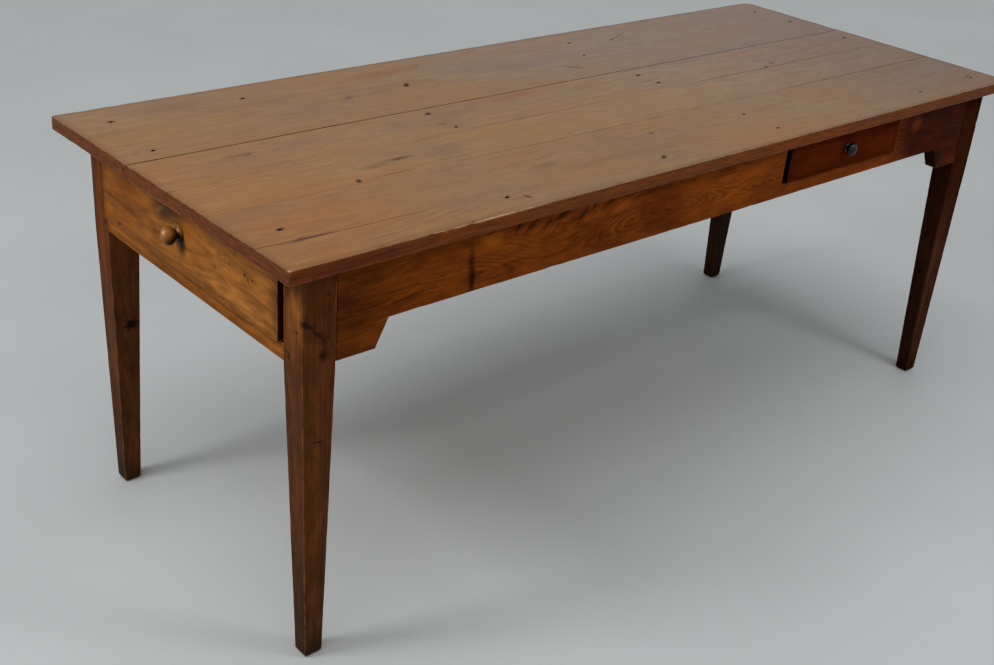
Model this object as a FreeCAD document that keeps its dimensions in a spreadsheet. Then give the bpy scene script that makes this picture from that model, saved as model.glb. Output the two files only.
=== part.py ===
import FreeCAD, Part
import os
import re
import Sketcher

# Farmhouse table: four-board top on four tapered legs, with aprons, a drawer in the
# left end and a second drawer in the front. Millimetres, +Z up, floor at zero,
# length along X, front edge towards -Y, origin under the middle of the top.

doc = FreeCAD.newDocument("FarmhouseTable")
sheet = doc.addObject("Spreadsheet::Sheet", "Sizes")

# Driving sizes: alias, number, meaning
driving_sizes = (
    ("table_height", 770, "floor to upper face of top"),
    ("top_length", 1970, "top along the table"),
    ("top_width", 785, "top across the table"),
    ("top_thickness", 25, "thickness of the top boards"),
    ("back_board_width", 291, "widest board, at the back"),
    ("back_middle_width", 140, "second board from the back"),
    ("front_middle_width", 126, "third board from the back"),
    ("seam_gap", 1, "shrinkage gap between boards"),
    ("top_corner_radius", 9, "worn outer corners of the top"),
    ("tongue_depth", 9, "tongue on the back edge of a board"),
    ("tongue_thickness", 8, "tongue, up and down"),
    ("overhang_left", 46, "top past the left legs"),
    ("overhang_right", 34, "top past the right legs"),
    ("overhang_front", 34, "top past the front legs"),
    ("overhang_back", 56, "top past the back legs"),
    ("leg_width", 63, "leg block along X"),
    ("leg_depth", 52, "leg block along Y"),
    ("knee_margin", 1, "leg goes on square below the lowest rail"),
    ("foot_width", 34, "foot along X"),
    ("foot_depth", 32, "foot along Y"),
    ("foot_inset_x", 11, "foot behind the block's outer end face"),
    ("foot_inset_y", 1, "foot behind the block's outer long face"),
    ("foot_chamfer", 4, "worn edge round the foot"),
    ("apron_thickness", 28, "front and back aprons"),
    ("apron_depth", 121, "front and back aprons below the top"),
    ("apron_setback", 1, "apron behind the face of the leg"),
    ("spandrel_drop", 50, "bracket end below the apron"),
    ("spandrel_length", 77, "flat underside of a bracket end"),
    ("spandrel_run", 25.5, "slope of a bracket end along X"),
    ("tenon_length", 28, "tenon into a leg"),
    ("tenon_thickness", 11, "tenon cheeks"),
    ("tenon_shoulder", 12, "tenon shoulder above and below"),
    ("right_apron_thickness", 26, "plain apron at the right end"),
    ("right_apron_depth", 175, "right end apron below the top"),
    ("end_rail_drop", 175, "top's underside to the rail's underside"),
    ("end_rail_height", 30, "rail under the end drawer"),
    ("end_rail_thickness", 34, "rail under the end drawer, along X"),
    ("end_rail_shoulder", 5, "shoulder of the rail's tenon"),
    ("tie_rail_thickness", 22, "tie between the left legs, up and down"),
    ("tie_rail_width", 45, "tie between the left legs, along X"),
    ("tie_rail_gap", 2, "tie behind the end drawer's front"),
    ("tie_rail_lap", 20, "tie let into the top of each leg"),
    ("tie_rail_shoulder", 6, "shoulder each side of the lap"),
    ("cross_left_place", 617, "left end of top to middle of left cross rail"),
    ("cross_rail_thickness", 26, "cross rails along X"),
    ("cross_rail_depth", 80, "cross rails below the top"),
    ("cross_rail_margin", 6, "right cross rail to the drawer notch"),
    ("cross_tenon_length", 10, "stub tenon into an apron"),
    ("cross_tenon_shoulder", 6, "shoulder round the stub tenon"),
    ("notch_margin", 279.5, "front drawer's notch to the right leg"),
    ("notch_depth", 93, "notch below the top"),
    ("joint_clearance", 0.2, "tenon in mortise, tongue in groove"),
    ("peg_radius", 4.5, "oak peg through a tenon"),
    ("peg_length", 40, "peg from the face of the leg"),
    ("peg_spacing", 74, "between the two pegs of one tenon"),
    ("peg_clearance", 0.1, "hole round a peg or nail"),
    ("nail_head_radius", 3.6, "nail head in the top"),
    ("nail_head_height", 2, "thickness of a nail head"),
    ("nail_sink", 0.6, "head below the top's face"),
    ("nail_radius", 1.6, "nail shank"),
    ("nail_length", 44, "nail from head to point"),
    ("nail_edge", 8, "nail from the inner face of its rail"),
    ("pin_radius", 1.2, "drawer and runner nails"),
    ("pin_length", 32, "nail through a drawer side"),
    ("panel_pin_length", 26, "nail up through a drawer bottom"),
    ("runner_pin_bite", 16, "runner nail into the apron"),
    ("slide_clearance", 0.3, "drawer above its runner"),
    ("side_clearance", 0.8, "drawer beside its guide"),
    ("stop_clearance", 0.5, "drawer end before its stop"),
    ("panel_groove", 6, "drawer bottom let into sides and front"),
    ("end_front_thickness", 22, "end drawer front"),
    ("end_proud", 6, "end drawer front past the legs"),
    ("end_gap_near", 8, "end drawer front to the front leg"),
    ("end_gap_far", 3, "end drawer front to the back leg"),
    ("end_gap_below", 1.5, "end drawer front above its rail"),
    ("end_gap_above", 2, "end drawer front under the top"),
    ("end_side_thickness", 14, "end drawer sides"),
    ("end_side_inset", 2.5, "sides behind the ends of the front"),
    ("end_side_lift", 4, "sides above the front's lower edge"),
    ("end_side_drop", 3, "sides below the tie rail"),
    ("end_lap", 9, "front's wood over the ends of the sides"),
    ("end_back_thickness", 14, "end drawer back"),
    ("end_back_inset", 12, "back before the ends of the sides"),
    ("end_panel_thickness", 9, "end drawer bottom"),
    ("end_panel_lift", 9, "bottom above the sides' lower edge"),
    ("end_runner_drop", 75, "top's underside to the runner's upper face"),
    ("end_runner_height", 18, "runner, up and down"),
    ("end_runner_engage", 8, "runner into the drawer side"),
    ("end_groove_slack", 1, "groove past the runner below and within"),
    ("end_groove_lead", 4, "groove past the runner's front end"),
    ("front_front_thickness", 20, "front drawer front"),
    ("front_proud", 5, "front drawer front past the apron"),
    ("front_drawer_width", 378, "front drawer front along X"),
    ("front_drawer_length", 420, "front drawer, face to the ends of its sides"),
    ("front_gap_near", 9, "front drawer front to the notch, left"),
    ("front_gap_far", 1.5, "front drawer front to the notch, right"),
    ("front_gap_below", 1, "front drawer front above the notch"),
    ("front_gap_above", 2, "front drawer front under the top"),
    ("front_side_thickness", 12, "front drawer sides"),
    ("front_side_inset", 2, "sides behind the ends of the front"),
    ("front_side_drop", 8, "sides below the top"),
    ("front_lap", 8, "front's wood over the ends of the sides"),
    ("front_back_thickness", 12, "front drawer back"),
    ("front_back_inset", 10, "back before the ends of the sides"),
    ("front_panel_thickness", 8, "front drawer bottom"),
    ("front_panel_lift", 8, "bottom above the sides' lower edge"),
    ("front_runner_thickness", 22, "runner, up and down"),
    ("front_runner_housing", 8, "runner let into the aprons"),
    ("front_runner_tread", 8, "runner past the inside of the drawer side"),
    ("guide_height", 20, "guide strip on a runner"),
    ("guide_width", 14, "right guide strip along X"),
    ("stop_depth", 18, "drawer stop along Y"),
    ("end_flange_radius", 17, "turned knob's foot"),
    ("end_flange_height", 4, "turned knob's foot along its axis"),
    ("end_neck_radius", 8, "turned knob's neck"),
    ("end_cove_radius", 12.5, "wide end of the cove above the foot"),
    ("end_cove_height", 3.5, "cove between foot and neck"),
    ("end_head_radius", 17, "turned knob's head"),
    ("end_head_half", 12, "half of the head along its axis"),
    ("end_head_place", 19.5, "drawer face to the middle of the head"),
    ("end_dowel_radius", 7, "turned knob's dowel"),
    ("end_dowel_cover", 6, "front's wood behind the dowel"),
    ("end_knob_offset", 12, "turned knob behind the middle of its drawer"),
    ("end_knob_lift", 2, "turned knob above the middle of its drawer"),
    ("front_flange_radius", 9, "dark knob's foot"),
    ("front_flange_height", 2.5, "dark knob's foot along its axis"),
    ("front_neck_radius", 6, "dark knob's neck"),
    ("front_head_radius", 14, "dark knob's head"),
    ("front_head_half", 8.5, "half of the head along its axis"),
    ("front_head_place", 15, "drawer face to the middle of the head"),
    ("front_screw_radius", 2.5, "dark knob's screw"),
    ("front_screw_tail", 9, "screw past the inside of the drawer front"),
    ("front_nut_radius", 5.5, "nut over its corners"),
    ("front_nut_height", 4, "nut along the screw"),
    ("cut_overrun", 5, "cutters past the faces they cut"),
)

# Places worked out from the driving sizes
derived_sizes = (
    ("left_x", "-top_length / 2"),
    ("right_x", "top_length / 2"),
    ("front_y", "-top_width / 2"),
    ("back_y", "top_width / 2"),
    ("under_z", "table_height - top_thickness"),
    ("frame_left", "left_x + overhang_left"),
    ("frame_right", "right_x - overhang_right"),
    ("frame_front", "front_y + overhang_front"),
    ("frame_back", "back_y - overhang_back"),
    ("shoulder_left", "frame_left + leg_width"),
    ("shoulder_right", "frame_right - leg_width"),
    ("shoulder_front", "frame_front + leg_depth"),
    ("shoulder_back", "frame_back - leg_depth"),
    ("front_face", "frame_front + apron_setback"),
    ("front_inner", "front_face + apron_thickness"),
    ("back_face", "frame_back - apron_setback"),
    ("back_inner", "back_face - apron_thickness"),
    ("apron_length", "shoulder_right - shoulder_left"),
    ("spandrel_bottom", "under_z - apron_depth - spandrel_drop"),
    ("right_apron_bottom", "under_z - right_apron_depth"),
    ("right_face", "frame_right - apron_setback"),
    ("right_inner", "right_face - right_apron_thickness"),
    ("end_rail_bottom", "under_z - end_rail_drop"),
    ("end_rail_top", "end_rail_bottom + end_rail_height"),
    ("block_bottom", "min(spandrel_bottom; right_apron_bottom; end_rail_bottom) - knee_margin"),
    ("end_rail_face", "frame_left + apron_setback"),
    ("end_rail_inner", "end_rail_face + end_rail_thickness"),
    ("cross_left_low", "left_x + cross_left_place - cross_rail_thickness / 2"),
    ("cross_left_high", "cross_left_low + cross_rail_thickness"),
    ("notch_right", "shoulder_right - notch_margin"),
    ("notch_left", "notch_right - front_gap_far - front_drawer_width - front_gap_near"),
    ("notch_bottom", "under_z - notch_depth"),
    ("cross_right_high", "notch_left - cross_rail_margin"),
    ("cross_right_low", "cross_right_high - cross_rail_thickness"),
    ("cross_bottom", "under_z - cross_rail_depth"),
    ("end_face", "frame_left - end_proud"),
    ("end_inner", "end_face + end_front_thickness"),
    ("end_low", "shoulder_front + end_gap_near"),
    ("end_high", "shoulder_back - end_gap_far"),
    ("end_bottom", "end_rail_top + end_gap_below"),
    ("end_top", "under_z - end_gap_above"),
    ("tie_low", "end_inner + tie_rail_gap"),
    ("tie_high", "tie_low + tie_rail_width"),
    ("tie_bottom", "under_z - tie_rail_thickness"),
    ("end_side_bottom", "end_bottom + end_side_lift"),
    ("end_side_top", "tie_bottom - end_side_drop"),
    ("end_tail", "cross_left_low - stop_clearance"),
    ("end_runner_top", "under_z - end_runner_drop"),
    ("end_runner_bottom", "end_runner_top - end_runner_height"),
    ("front_drawer_face", "front_face - front_proud"),
    ("front_drawer_inner", "front_drawer_face + front_front_thickness"),
    ("front_low", "notch_left + front_gap_near"),
    ("front_high", "front_low + front_drawer_width"),
    ("front_bottom", "notch_bottom + front_gap_below"),
    ("front_top", "under_z - front_gap_above"),
    ("front_side_bottom", "notch_bottom + slide_clearance"),
    ("front_side_top", "under_z - front_side_drop"),
    ("front_tail", "front_drawer_face + front_drawer_length"),
    ("end_dowel_length", "end_front_thickness - end_dowel_cover"),
    ("end_knob_y", "(end_low + end_high) / 2 + end_knob_offset"),
    ("end_knob_z", "(end_bottom + end_top) / 2 + end_knob_lift"),
    ("front_knob_x", "(front_low + front_high) / 2"),
    ("front_knob_z", "(front_bottom + front_top) / 2"),
)

for row, (alias, number, meaning) in enumerate(driving_sizes, start=1):
    sheet.set(f"A{row}", meaning)
    sheet.set(f"B{row}", str(number))
    sheet.setAlias(f"B{row}", alias)
for row, (alias, formula) in enumerate(derived_sizes, start=len(driving_sizes) + 2):
    sheet.set(f"A{row}", formula)
    sheet.set(f"B{row}", "=" + formula)
    sheet.setAlias(f"B{row}", alias)
doc.recompute()

aliases = {size[0] for size in driving_sizes + derived_sizes}
nodes = []


def linked(formula):
    # The formula with each size's name pointed at the sheet
    def point(word):
        return "Sizes." + word.group() if word.group() in aliases else word.group()

    return re.sub(r"[a-z_]+", point, formula)


def value(formula):
    return float(sheet.evalExpression(formula))


def bind(target, prop, formula):
    target.setExpression(prop, linked(formula))


def place(target, x, y, z):
    for axis, formula in zip("xyz", (x, y, z)):
        bind(target, "Placement.Base." + axis, formula)


def node(target, label):
    target.Label = label
    nodes.append(target)
    return target


def block(name, x, y, z):
    # Box between pairs of formulas
    box = doc.addObject("Part::Box", name)
    for prop, (low, high) in zip(("Length", "Width", "Height"), (x, y, z)):
        bind(box, prop, f"({high}) - ({low})")
    place(box, x[0], y[0], z[0])
    return box


def grown(span, extra):
    low, high = span
    return (f"({low}) - {extra}", f"({high}) + {extra}")


turns = {
    "up": FreeCAD.Rotation(),
    "left": FreeCAD.Rotation(FreeCAD.Vector(0, 1, 0), -90),
    "right": FreeCAD.Rotation(FreeCAD.Vector(0, 1, 0), 90),
    "front": FreeCAD.Rotation(FreeCAD.Vector(1, 0, 0), 90),
    "back": FreeCAD.Rotation(FreeCAD.Vector(1, 0, 0), -90),
}


def rod(name, radius, length, start, way):
    # Cylinder from a point, along one of the named ways
    cylinder = doc.addObject("Part::Cylinder", name)
    bind(cylinder, "Radius", radius)
    bind(cylinder, "Height", length)
    cylinder.Placement.Rotation = turns[way]
    place(cylinder, *start)
    return cylinder


def cone(name, radius_low, radius_high, length, start, way):
    taper = doc.addObject("Part::Cone", name)
    bind(taper, "Radius1", radius_low)
    bind(taper, "Radius2", radius_high)
    bind(taper, "Height", length)
    taper.Placement.Rotation = turns[way]
    place(taper, *start)
    return taper


def ball(name, radius, half_height, middle, way):
    head = doc.addObject("Part::Ellipsoid", name)
    bind(head, "Radius1", half_height)
    bind(head, "Radius2", radius)
    bind(head, "Radius3", radius)
    head.Placement.Rotation = turns[way]
    place(head, *middle)
    return head


def cut(base, *tools):
    for tool in tools:
        result = doc.addObject("Part::Cut", base.Name + "_cut")
        result.Base = base
        result.Tool = tool
        base = result
    return base


def fuse(name, pieces):
    result = doc.addObject("Part::MultiFuse", name)
    result.Shapes = pieces
    result.Refine = True
    return result


def group(name, pieces):
    result = doc.addObject("Part::Compound", name)
    result.Links = pieces
    return result


def new_body(name, x, y, z):
    body = doc.addObject("PartDesign::Body", name)
    place(body, x, y, z)
    return body


def sketch_on(body, name, plane, points, offset="0"):
    # Closed outline through pairs of formulas, fully constrained from the sketch's origin
    sketch = body.newObject("Sketcher::SketchObject", name)
    support = [item for item in body.Origin.OriginFeatures if item.Role == plane][0]
    sketch.AttachmentSupport = [(support, "")]
    sketch.MapMode = "FlatFace"
    bind(sketch, "AttachmentOffset.Base.z", offset)
    corners = [FreeCAD.Vector(value(u), value(v), 0) for u, v in points]
    count = len(corners)
    for index, corner in enumerate(corners):
        sketch.addGeometry(Part.LineSegment(corner, corners[(index + 1) % count]))
    for index in range(count):
        sketch.addConstraint(Sketcher.Constraint("Coincident", index, 2, (index + 1) % count, 1))
    for index, (u, v) in enumerate(points):
        for kind, axis, formula in (("DistanceX", -2, u), ("DistanceY", -1, v)):
            if formula == "0":
                sketch.addConstraint(Sketcher.Constraint("PointOnObject", index, 1, axis))
                continue
            number = sketch.addConstraint(Sketcher.Constraint(kind, -1, 1, index, 1, value(formula)))
            bind(sketch, f"Constraints[{number}]", formula)
    return sketch


def pad(body, name, plane, points, length, reverse=False):
    feature = body.newObject("PartDesign::Pad", name)
    feature.Profile = sketch_on(body, name + "Outline", plane, points)
    feature.Reversed = reverse
    bind(feature, "Length", length)
    return feature


def rectangle(low_u, low_v, high_u, high_v):
    return ((low_u, low_v), (high_u, low_v), (high_u, high_v), (low_u, high_v))


# Nails through the top: along the front apron as shares of its stretches beside the notch, along
# the back apron as shares of its length, along the rails as shares of the width from the front edge
front_left_nail_shares = (0.325, 0.676)
front_right_nail_shares = (0.345,)
back_nail_shares = (0.139, 0.636)
tie_nail_shares = (0.173, 0.682)
cross_left_nail_shares = (0.478, 0.588)
cross_right_nail_shares = (0.188, 0.492, 0.57, 0.787)
right_nail_shares = (0.543, 0.76)


def nail_places():
    places = []
    for share in front_left_nail_shares:
        places.append((f"shoulder_left + {share} * (notch_left - shoulder_left)", "front_inner - nail_edge"))
    for share in front_right_nail_shares:
        places.append((f"notch_right + {share} * (shoulder_right - notch_right)", "front_inner - nail_edge"))
    for share in back_nail_shares:
        places.append((f"shoulder_left + {share} * apron_length", "back_inner + nail_edge"))
    places.append(("(cross_right_low + cross_right_high) / 2", "front_inner - nail_edge"))
    across = (
        ("tie_low + nail_edge", tie_nail_shares),
        ("(cross_left_low + cross_left_high) / 2", cross_left_nail_shares),
        ("cross_right_high - nail_edge", cross_right_nail_shares),
        ("right_inner + nail_edge", right_nail_shares),
    )
    for x, shares in across:
        for share in shares:
            places.append((x, f"front_y + {share} * top_width"))
    for x in ("frame_left + leg_width / 2", "frame_right - leg_width / 2"):
        for y in ("frame_front + leg_depth / 2", "frame_back - leg_depth / 2"):
            places.append((x, y))
    return places


def nail_set(name, clearance, head_top):
    # Heads and shanks at every place; with a clearance they are the cutters for the holes
    low = "table_height - nail_sink - nail_length"
    head_low = "table_height - nail_sink - nail_head_height"
    shank_radius = f"nail_radius + {clearance}"
    head_radius = f"nail_head_radius + {clearance}"
    head_height = f"({head_top}) - ({head_low})"
    nails = []
    for index, (x, y) in enumerate(nail_places()):
        shank = rod(f"{name}_shank_{index}", shank_radius, f"({head_low}) - ({low})", (x, y, low), "up")
        head = rod(f"{name}_head_{index}", head_radius, head_height, (x, y, head_low), "up")
        nails.append(fuse(f"{name}_{index}", [shank, head]))
    return group(name, nails)


def pin_set(name, radius, pins):
    # Plain pins from a face into the wood, and the cutters for their holes
    hole_radius = f"{radius} + peg_clearance"
    solids = []
    holes = []
    for index, (length, start, way) in enumerate(pins):
        solids.append(rod(f"{name}_{index}", radius, length, start, way))
        holes.append(rod(f"{name}_hole_{index}", hole_radius, f"{length} + peg_clearance", start, way))
    return group(name, solids), group(name + "_holes", holes)


node(nail_set("TopNails", "0", "table_height - nail_sink"), "top_nails")
nail_holes = nail_set("NailHoles", "peg_clearance", "table_height + cut_overrun")

# Top: four boards, tongue on the back edge, groove in the front edge
seam_front = "back_y - back_board_width - back_middle_width - front_middle_width"
seam_middle = "back_y - back_board_width - back_middle_width"
seam_back = "back_y - back_board_width"
boards = (
    ("top_board_front", "front_y", f"{seam_front} - seam_gap / 2", False, True),
    ("top_board_front_middle", f"{seam_front} + seam_gap / 2", f"{seam_middle} - seam_gap / 2", True, True),
    ("top_board_back_middle", f"{seam_middle} + seam_gap / 2", f"{seam_back} - seam_gap / 2", True, True),
    ("top_board_back", f"{seam_back} + seam_gap / 2", "back_y", True, False),
)


def board_outline(width, has_groove, has_tongue):
    tongue_low = "(top_thickness - tongue_thickness) / 2"
    tongue_high = "(top_thickness + tongue_thickness) / 2"
    tongue_tip = f"{width} + tongue_depth - joint_clearance"
    points = [("0", "0"), (width, "0")]
    if has_tongue:
        points += [(width, tongue_low), (tongue_tip, tongue_low)]
        points += [(tongue_tip, tongue_high), (width, tongue_high)]
    points += [(width, "top_thickness"), ("0", "top_thickness")]
    if has_groove:
        low = f"{tongue_low} - joint_clearance"
        high = f"{tongue_high} + joint_clearance"
        groove = "tongue_depth - seam_gap + joint_clearance"
        points += [("0", high), (groove, high), (groove, low), ("0", low)]
    return points


def round_corners(body, plank, name, at_back):
    # Upright edges on the plank's plain side: two outer corners of the top
    doc.recompute()
    middle = plank.Shape.BoundBox.Center.y
    uprights = []
    for index, edge in enumerate(plank.Shape.Edges, start=1):
        reach = edge.BoundBox
        if reach.ZLength > reach.XLength + reach.YLength and (reach.Center.y > middle) == at_back:
            uprights.append(f"Edge{index}")
    rounding = body.newObject("PartDesign::Fillet", name)
    rounding.Base = (plank, uprights)
    bind(rounding, "Radius", "top_corner_radius")


for label, low, high, has_groove, has_tongue in boards:
    body = new_body(label + "_body", "left_x", low, "under_z")
    outline = board_outline(f"(({high}) - ({low}))", has_groove, has_tongue)
    plank = pad(body, label + "_pad", "YZ_Plane", outline, "top_length")
    if not has_groove or not has_tongue:
        round_corners(body, plank, label + "_corners", at_back=not has_tongue)
    node(cut(body, nail_holes), label)

# Pegs through the tenons, driven in from the faces of the legs
apron_peg_heights = [f"(spandrel_bottom + under_z) / 2 {sign} peg_spacing / 2" for sign in "+-"]
right_peg_heights = [f"(right_apron_bottom + under_z) / 2 {sign} peg_spacing / 2" for sign in "+-"]
end_rail_peg_height = "(end_rail_bottom + end_rail_top) / 2"
pegs = []
for x in ("shoulder_left - tenon_length / 2", "shoulder_right + tenon_length / 2"):
    for z in apron_peg_heights:
        pegs.append(("peg_length", (x, "frame_front", z), "back"))
        pegs.append(("peg_length", (x, "frame_back", z), "front"))
for y in ("shoulder_front - tenon_length / 2", "shoulder_back + tenon_length / 2"):
    for z in right_peg_heights:
        pegs.append(("peg_length", ("frame_right", y, z), "left"))
    pegs.append(("peg_length", ("frame_left", y, end_rail_peg_height), "right"))
joint_pegs, peg_holes = pin_set("JointPegs", "peg_radius", pegs)
node(joint_pegs, "joint_pegs")

# Tenons: spans along X, Y and Z. Each rail keeps its pair, and the legs are mortised round them
left_leg = ("shoulder_left - tenon_length", "shoulder_left")
right_leg = ("shoulder_right", "shoulder_right + tenon_length")
front_leg = ("shoulder_front - tenon_length", "shoulder_front")
back_leg = ("shoulder_back", "shoulder_back + tenon_length")
tie_front = ("shoulder_front - tie_rail_lap", "shoulder_front")
tie_back = ("shoulder_back", "shoulder_back + tie_rail_lap")
apron_tenon_z = ("spandrel_bottom + tenon_shoulder", "under_z - tenon_shoulder")
right_tenon_z = ("right_apron_bottom + tenon_shoulder", "under_z - tenon_shoulder")
end_tenon_z = ("end_rail_bottom + end_rail_shoulder", "end_rail_top - end_rail_shoulder")
tie_z = ("tie_bottom", "under_z")


def cheeks(low, high):
    middle = f"({low} + {high}) / 2"
    return (f"{middle} - tenon_thickness / 2", f"{middle} + tenon_thickness / 2")


front_cheeks = cheeks("front_face", "front_inner")
back_cheeks = cheeks("back_inner", "back_face")
right_cheeks = cheeks("right_inner", "right_face")
end_cheeks = cheeks("end_rail_face", "end_rail_inner")
tie_cheeks = ("tie_low + tie_rail_shoulder", "tie_high - tie_rail_shoulder")
tenons = {
    "front_apron": [(x, front_cheeks, apron_tenon_z) for x in (left_leg, right_leg)],
    "back_apron": [(x, back_cheeks, apron_tenon_z) for x in (left_leg, right_leg)],
    "right_end_apron": [(right_cheeks, y, right_tenon_z) for y in (front_leg, back_leg)],
    "end_drawer_rail": [(end_cheeks, y, end_tenon_z) for y in (front_leg, back_leg)],
    "end_tie_rail": [(tie_cheeks, y, tie_z) for y in (tie_front, tie_back)],
}


def tenon_blocks(rail):
    return [block(f"{rail}_tenon_{index}", *spans) for index, spans in enumerate(tenons[rail])]


def roomy(name, spans):
    # Cutter a clearance larger all round than the tenon it takes
    return block(name, *[grown(span, "joint_clearance") for span in spans])


mortises = []
for rail, pair in tenons.items():
    for index, spans in enumerate(pair):
        mortises.append(roomy(f"{rail}_mortise_{index}", spans))
mortise_cutters = group("Mortises", mortises)

# Legs: square block under the top, then a taper on the inner faces down to the foot
foot_right = "leg_width - foot_inset_x - foot_width"
foot_back = "leg_depth - foot_inset_y - foot_depth"
legs = (
    ("leg_front_left", "frame_left", "frame_front", "foot_inset_x", "foot_inset_y"),
    ("leg_front_right", "shoulder_right", "frame_front", foot_right, "foot_inset_y"),
    ("leg_back_left", "frame_left", "shoulder_back", "foot_inset_x", foot_back),
    ("leg_back_right", "shoulder_right", "shoulder_back", foot_right, foot_back),
)
for label, x, y, foot_x, foot_y in legs:
    body = new_body(label + "_body", x, y, "0")
    square = rectangle("0", "0", "leg_width", "leg_depth")
    foot = rectangle(foot_x, foot_y, f"{foot_x} + foot_width", f"{foot_y} + foot_depth")
    sole = rectangle(f"{foot_x} + foot_chamfer", f"{foot_y} + foot_chamfer",
                     f"{foot_x} + foot_width - foot_chamfer", f"{foot_y} + foot_depth - foot_chamfer")
    knee = sketch_on(body, label + "_knee", "XY_Plane", square, "block_bottom")
    ankle = sketch_on(body, label + "_ankle", "XY_Plane", foot, "foot_chamfer")
    floor = sketch_on(body, label + "_floor", "XY_Plane", sole)
    taper = body.newObject("PartDesign::AdditiveLoft", label + "_taper")
    taper.Profile = knee
    taper.Sections = [ankle, floor]
    taper.Ruled = True
    upper = body.newObject("PartDesign::Pad", label + "_block")
    upper.Profile = sketch_on(body, label + "_square", "XY_Plane", square, "block_bottom")
    bind(upper, "Length", "under_z - block_bottom")
    node(cut(body, mortise_cutters, peg_holes, nail_holes), label)

# Cross rails between the aprons, with stub tenons let into them
apron_to_apron = ("front_inner", "back_inner")
cross_z = ("cross_bottom", "under_z")
cross_stub_z = ("cross_bottom + cross_tenon_shoulder", "under_z - cross_tenon_shoulder")
cross_stub_y = ("front_inner - cross_tenon_length", "back_inner + cross_tenon_length")
housings = []
for side in ("left", "right"):
    label = "cross_rail_" + side
    span = (f"cross_{side}_low", f"cross_{side}_high")
    stub_x = (f"{span[0]} + cross_tenon_shoulder", f"{span[1]} - cross_tenon_shoulder")
    rail = block(label + "_rail", span, apron_to_apron, cross_z)
    stub = block(label + "_stub", stub_x, cross_stub_y, cross_stub_z)
    node(cut(fuse(label + "_whole", [rail, stub]), nail_holes), label)
    housings.append(roomy(label + "_housing", (stub_x, cross_stub_y, cross_stub_z)))

# Runners and guides of the front drawer, level with its notch, and stops behind it
front_side_low = "front_low + front_side_inset"
front_side_high = "front_high - front_side_inset"
guide_left_x = ("cross_right_high", f"{front_side_low} - side_clearance")
guide_right_x = (f"{front_side_high} + side_clearance", f"{front_side_high} + side_clearance + guide_width")
tread_left_x = ("cross_right_high", f"{front_side_low} + front_side_thickness + front_runner_tread")
tread_right_x = (f"{front_side_high} - front_side_thickness - front_runner_tread", guide_right_x[1])
tread_y = ("front_inner - front_runner_housing", "back_inner + front_runner_housing")
tread_z = ("notch_bottom - front_runner_thickness", "notch_bottom")
guide_z = ("notch_bottom", "notch_bottom + guide_height")
stop_y = ("front_tail + stop_clearance", "front_tail + stop_clearance + stop_depth")
stop_spans = ((guide_left_x[1], tread_left_x[1]), (tread_right_x[0], guide_right_x[0]))
for side, tread_x, guide_x in (("left", tread_left_x, guide_left_x), ("right", tread_right_x, guide_right_x)):
    node(block(f"FrontRunner_{side}", tread_x, tread_y, tread_z), f"front_runner_{side}")
    node(block(f"FrontGuide_{side}", guide_x, ("front_inner", stop_y[1]), guide_z), f"front_guide_{side}")
    housings.append(roomy(f"FrontRunner_{side}_housing", (tread_x, tread_y, tread_z)))
stops = [block(f"Stop_{index}", stop_x, stop_y, guide_z) for index, stop_x in enumerate(stop_spans)]
node(group("FrontDrawerStops", stops), "front_drawer_stops")
housing_cutters = group("Housings", housings)

# Runners of the end drawer, nailed to the aprons and engaged in grooves in the drawer's sides
runner_pin_shares = (0.12, 0.5, 0.88)
end_side_near = "end_low + end_side_inset"
end_side_far = "end_high - end_side_inset"
runner_tip_near = f"{end_side_near} + end_runner_engage"
runner_tip_far = f"{end_side_far} - end_runner_engage"
runner_x = ("shoulder_left", "cross_left_low")
runner_z = ("end_runner_bottom", "end_runner_top")
runner_middle_z = "(end_runner_bottom + end_runner_top) / 2"
runner_pins = []
for share in runner_pin_shares:
    x = f"shoulder_left + {share} * (cross_left_low - shoulder_left)"
    near_length = f"{runner_tip_near} - front_inner + runner_pin_bite"
    far_length = f"back_inner - ({runner_tip_far}) + runner_pin_bite"
    runner_pins.append((near_length, (x, runner_tip_near, runner_middle_z), "front"))
    runner_pins.append((far_length, (x, runner_tip_far, runner_middle_z), "back"))
runner_nails, runner_nail_holes = pin_set("RunnerNails", "pin_radius", runner_pins)
node(runner_nails, "runner_nails")
runner_front = block("EndRunnerFront", runner_x, ("front_inner", runner_tip_near), runner_z)
runner_back = block("EndRunnerBack", runner_x, (runner_tip_far, "back_inner"), runner_z)
node(cut(runner_front, runner_nail_holes), "end_runner_front")
node(cut(runner_back, runner_nail_holes), "end_runner_back")
groove_x = ("shoulder_left - end_groove_lead", "end_tail + cut_overrun")
groove_z = ("end_runner_bottom - end_groove_slack", "end_runner_top + slide_clearance")
groove_near = (f"{end_side_near} - cut_overrun", f"{runner_tip_near} + end_groove_slack")
groove_far = (f"{runner_tip_far} - end_groove_slack", f"{end_side_far} + cut_overrun")
runner_grooves = group("RunnerGrooves", [
    block("RunnerGrooveNear", groove_x, groove_near, groove_z),
    block("RunnerGrooveFar", groove_x, groove_far, groove_z),
])

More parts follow.
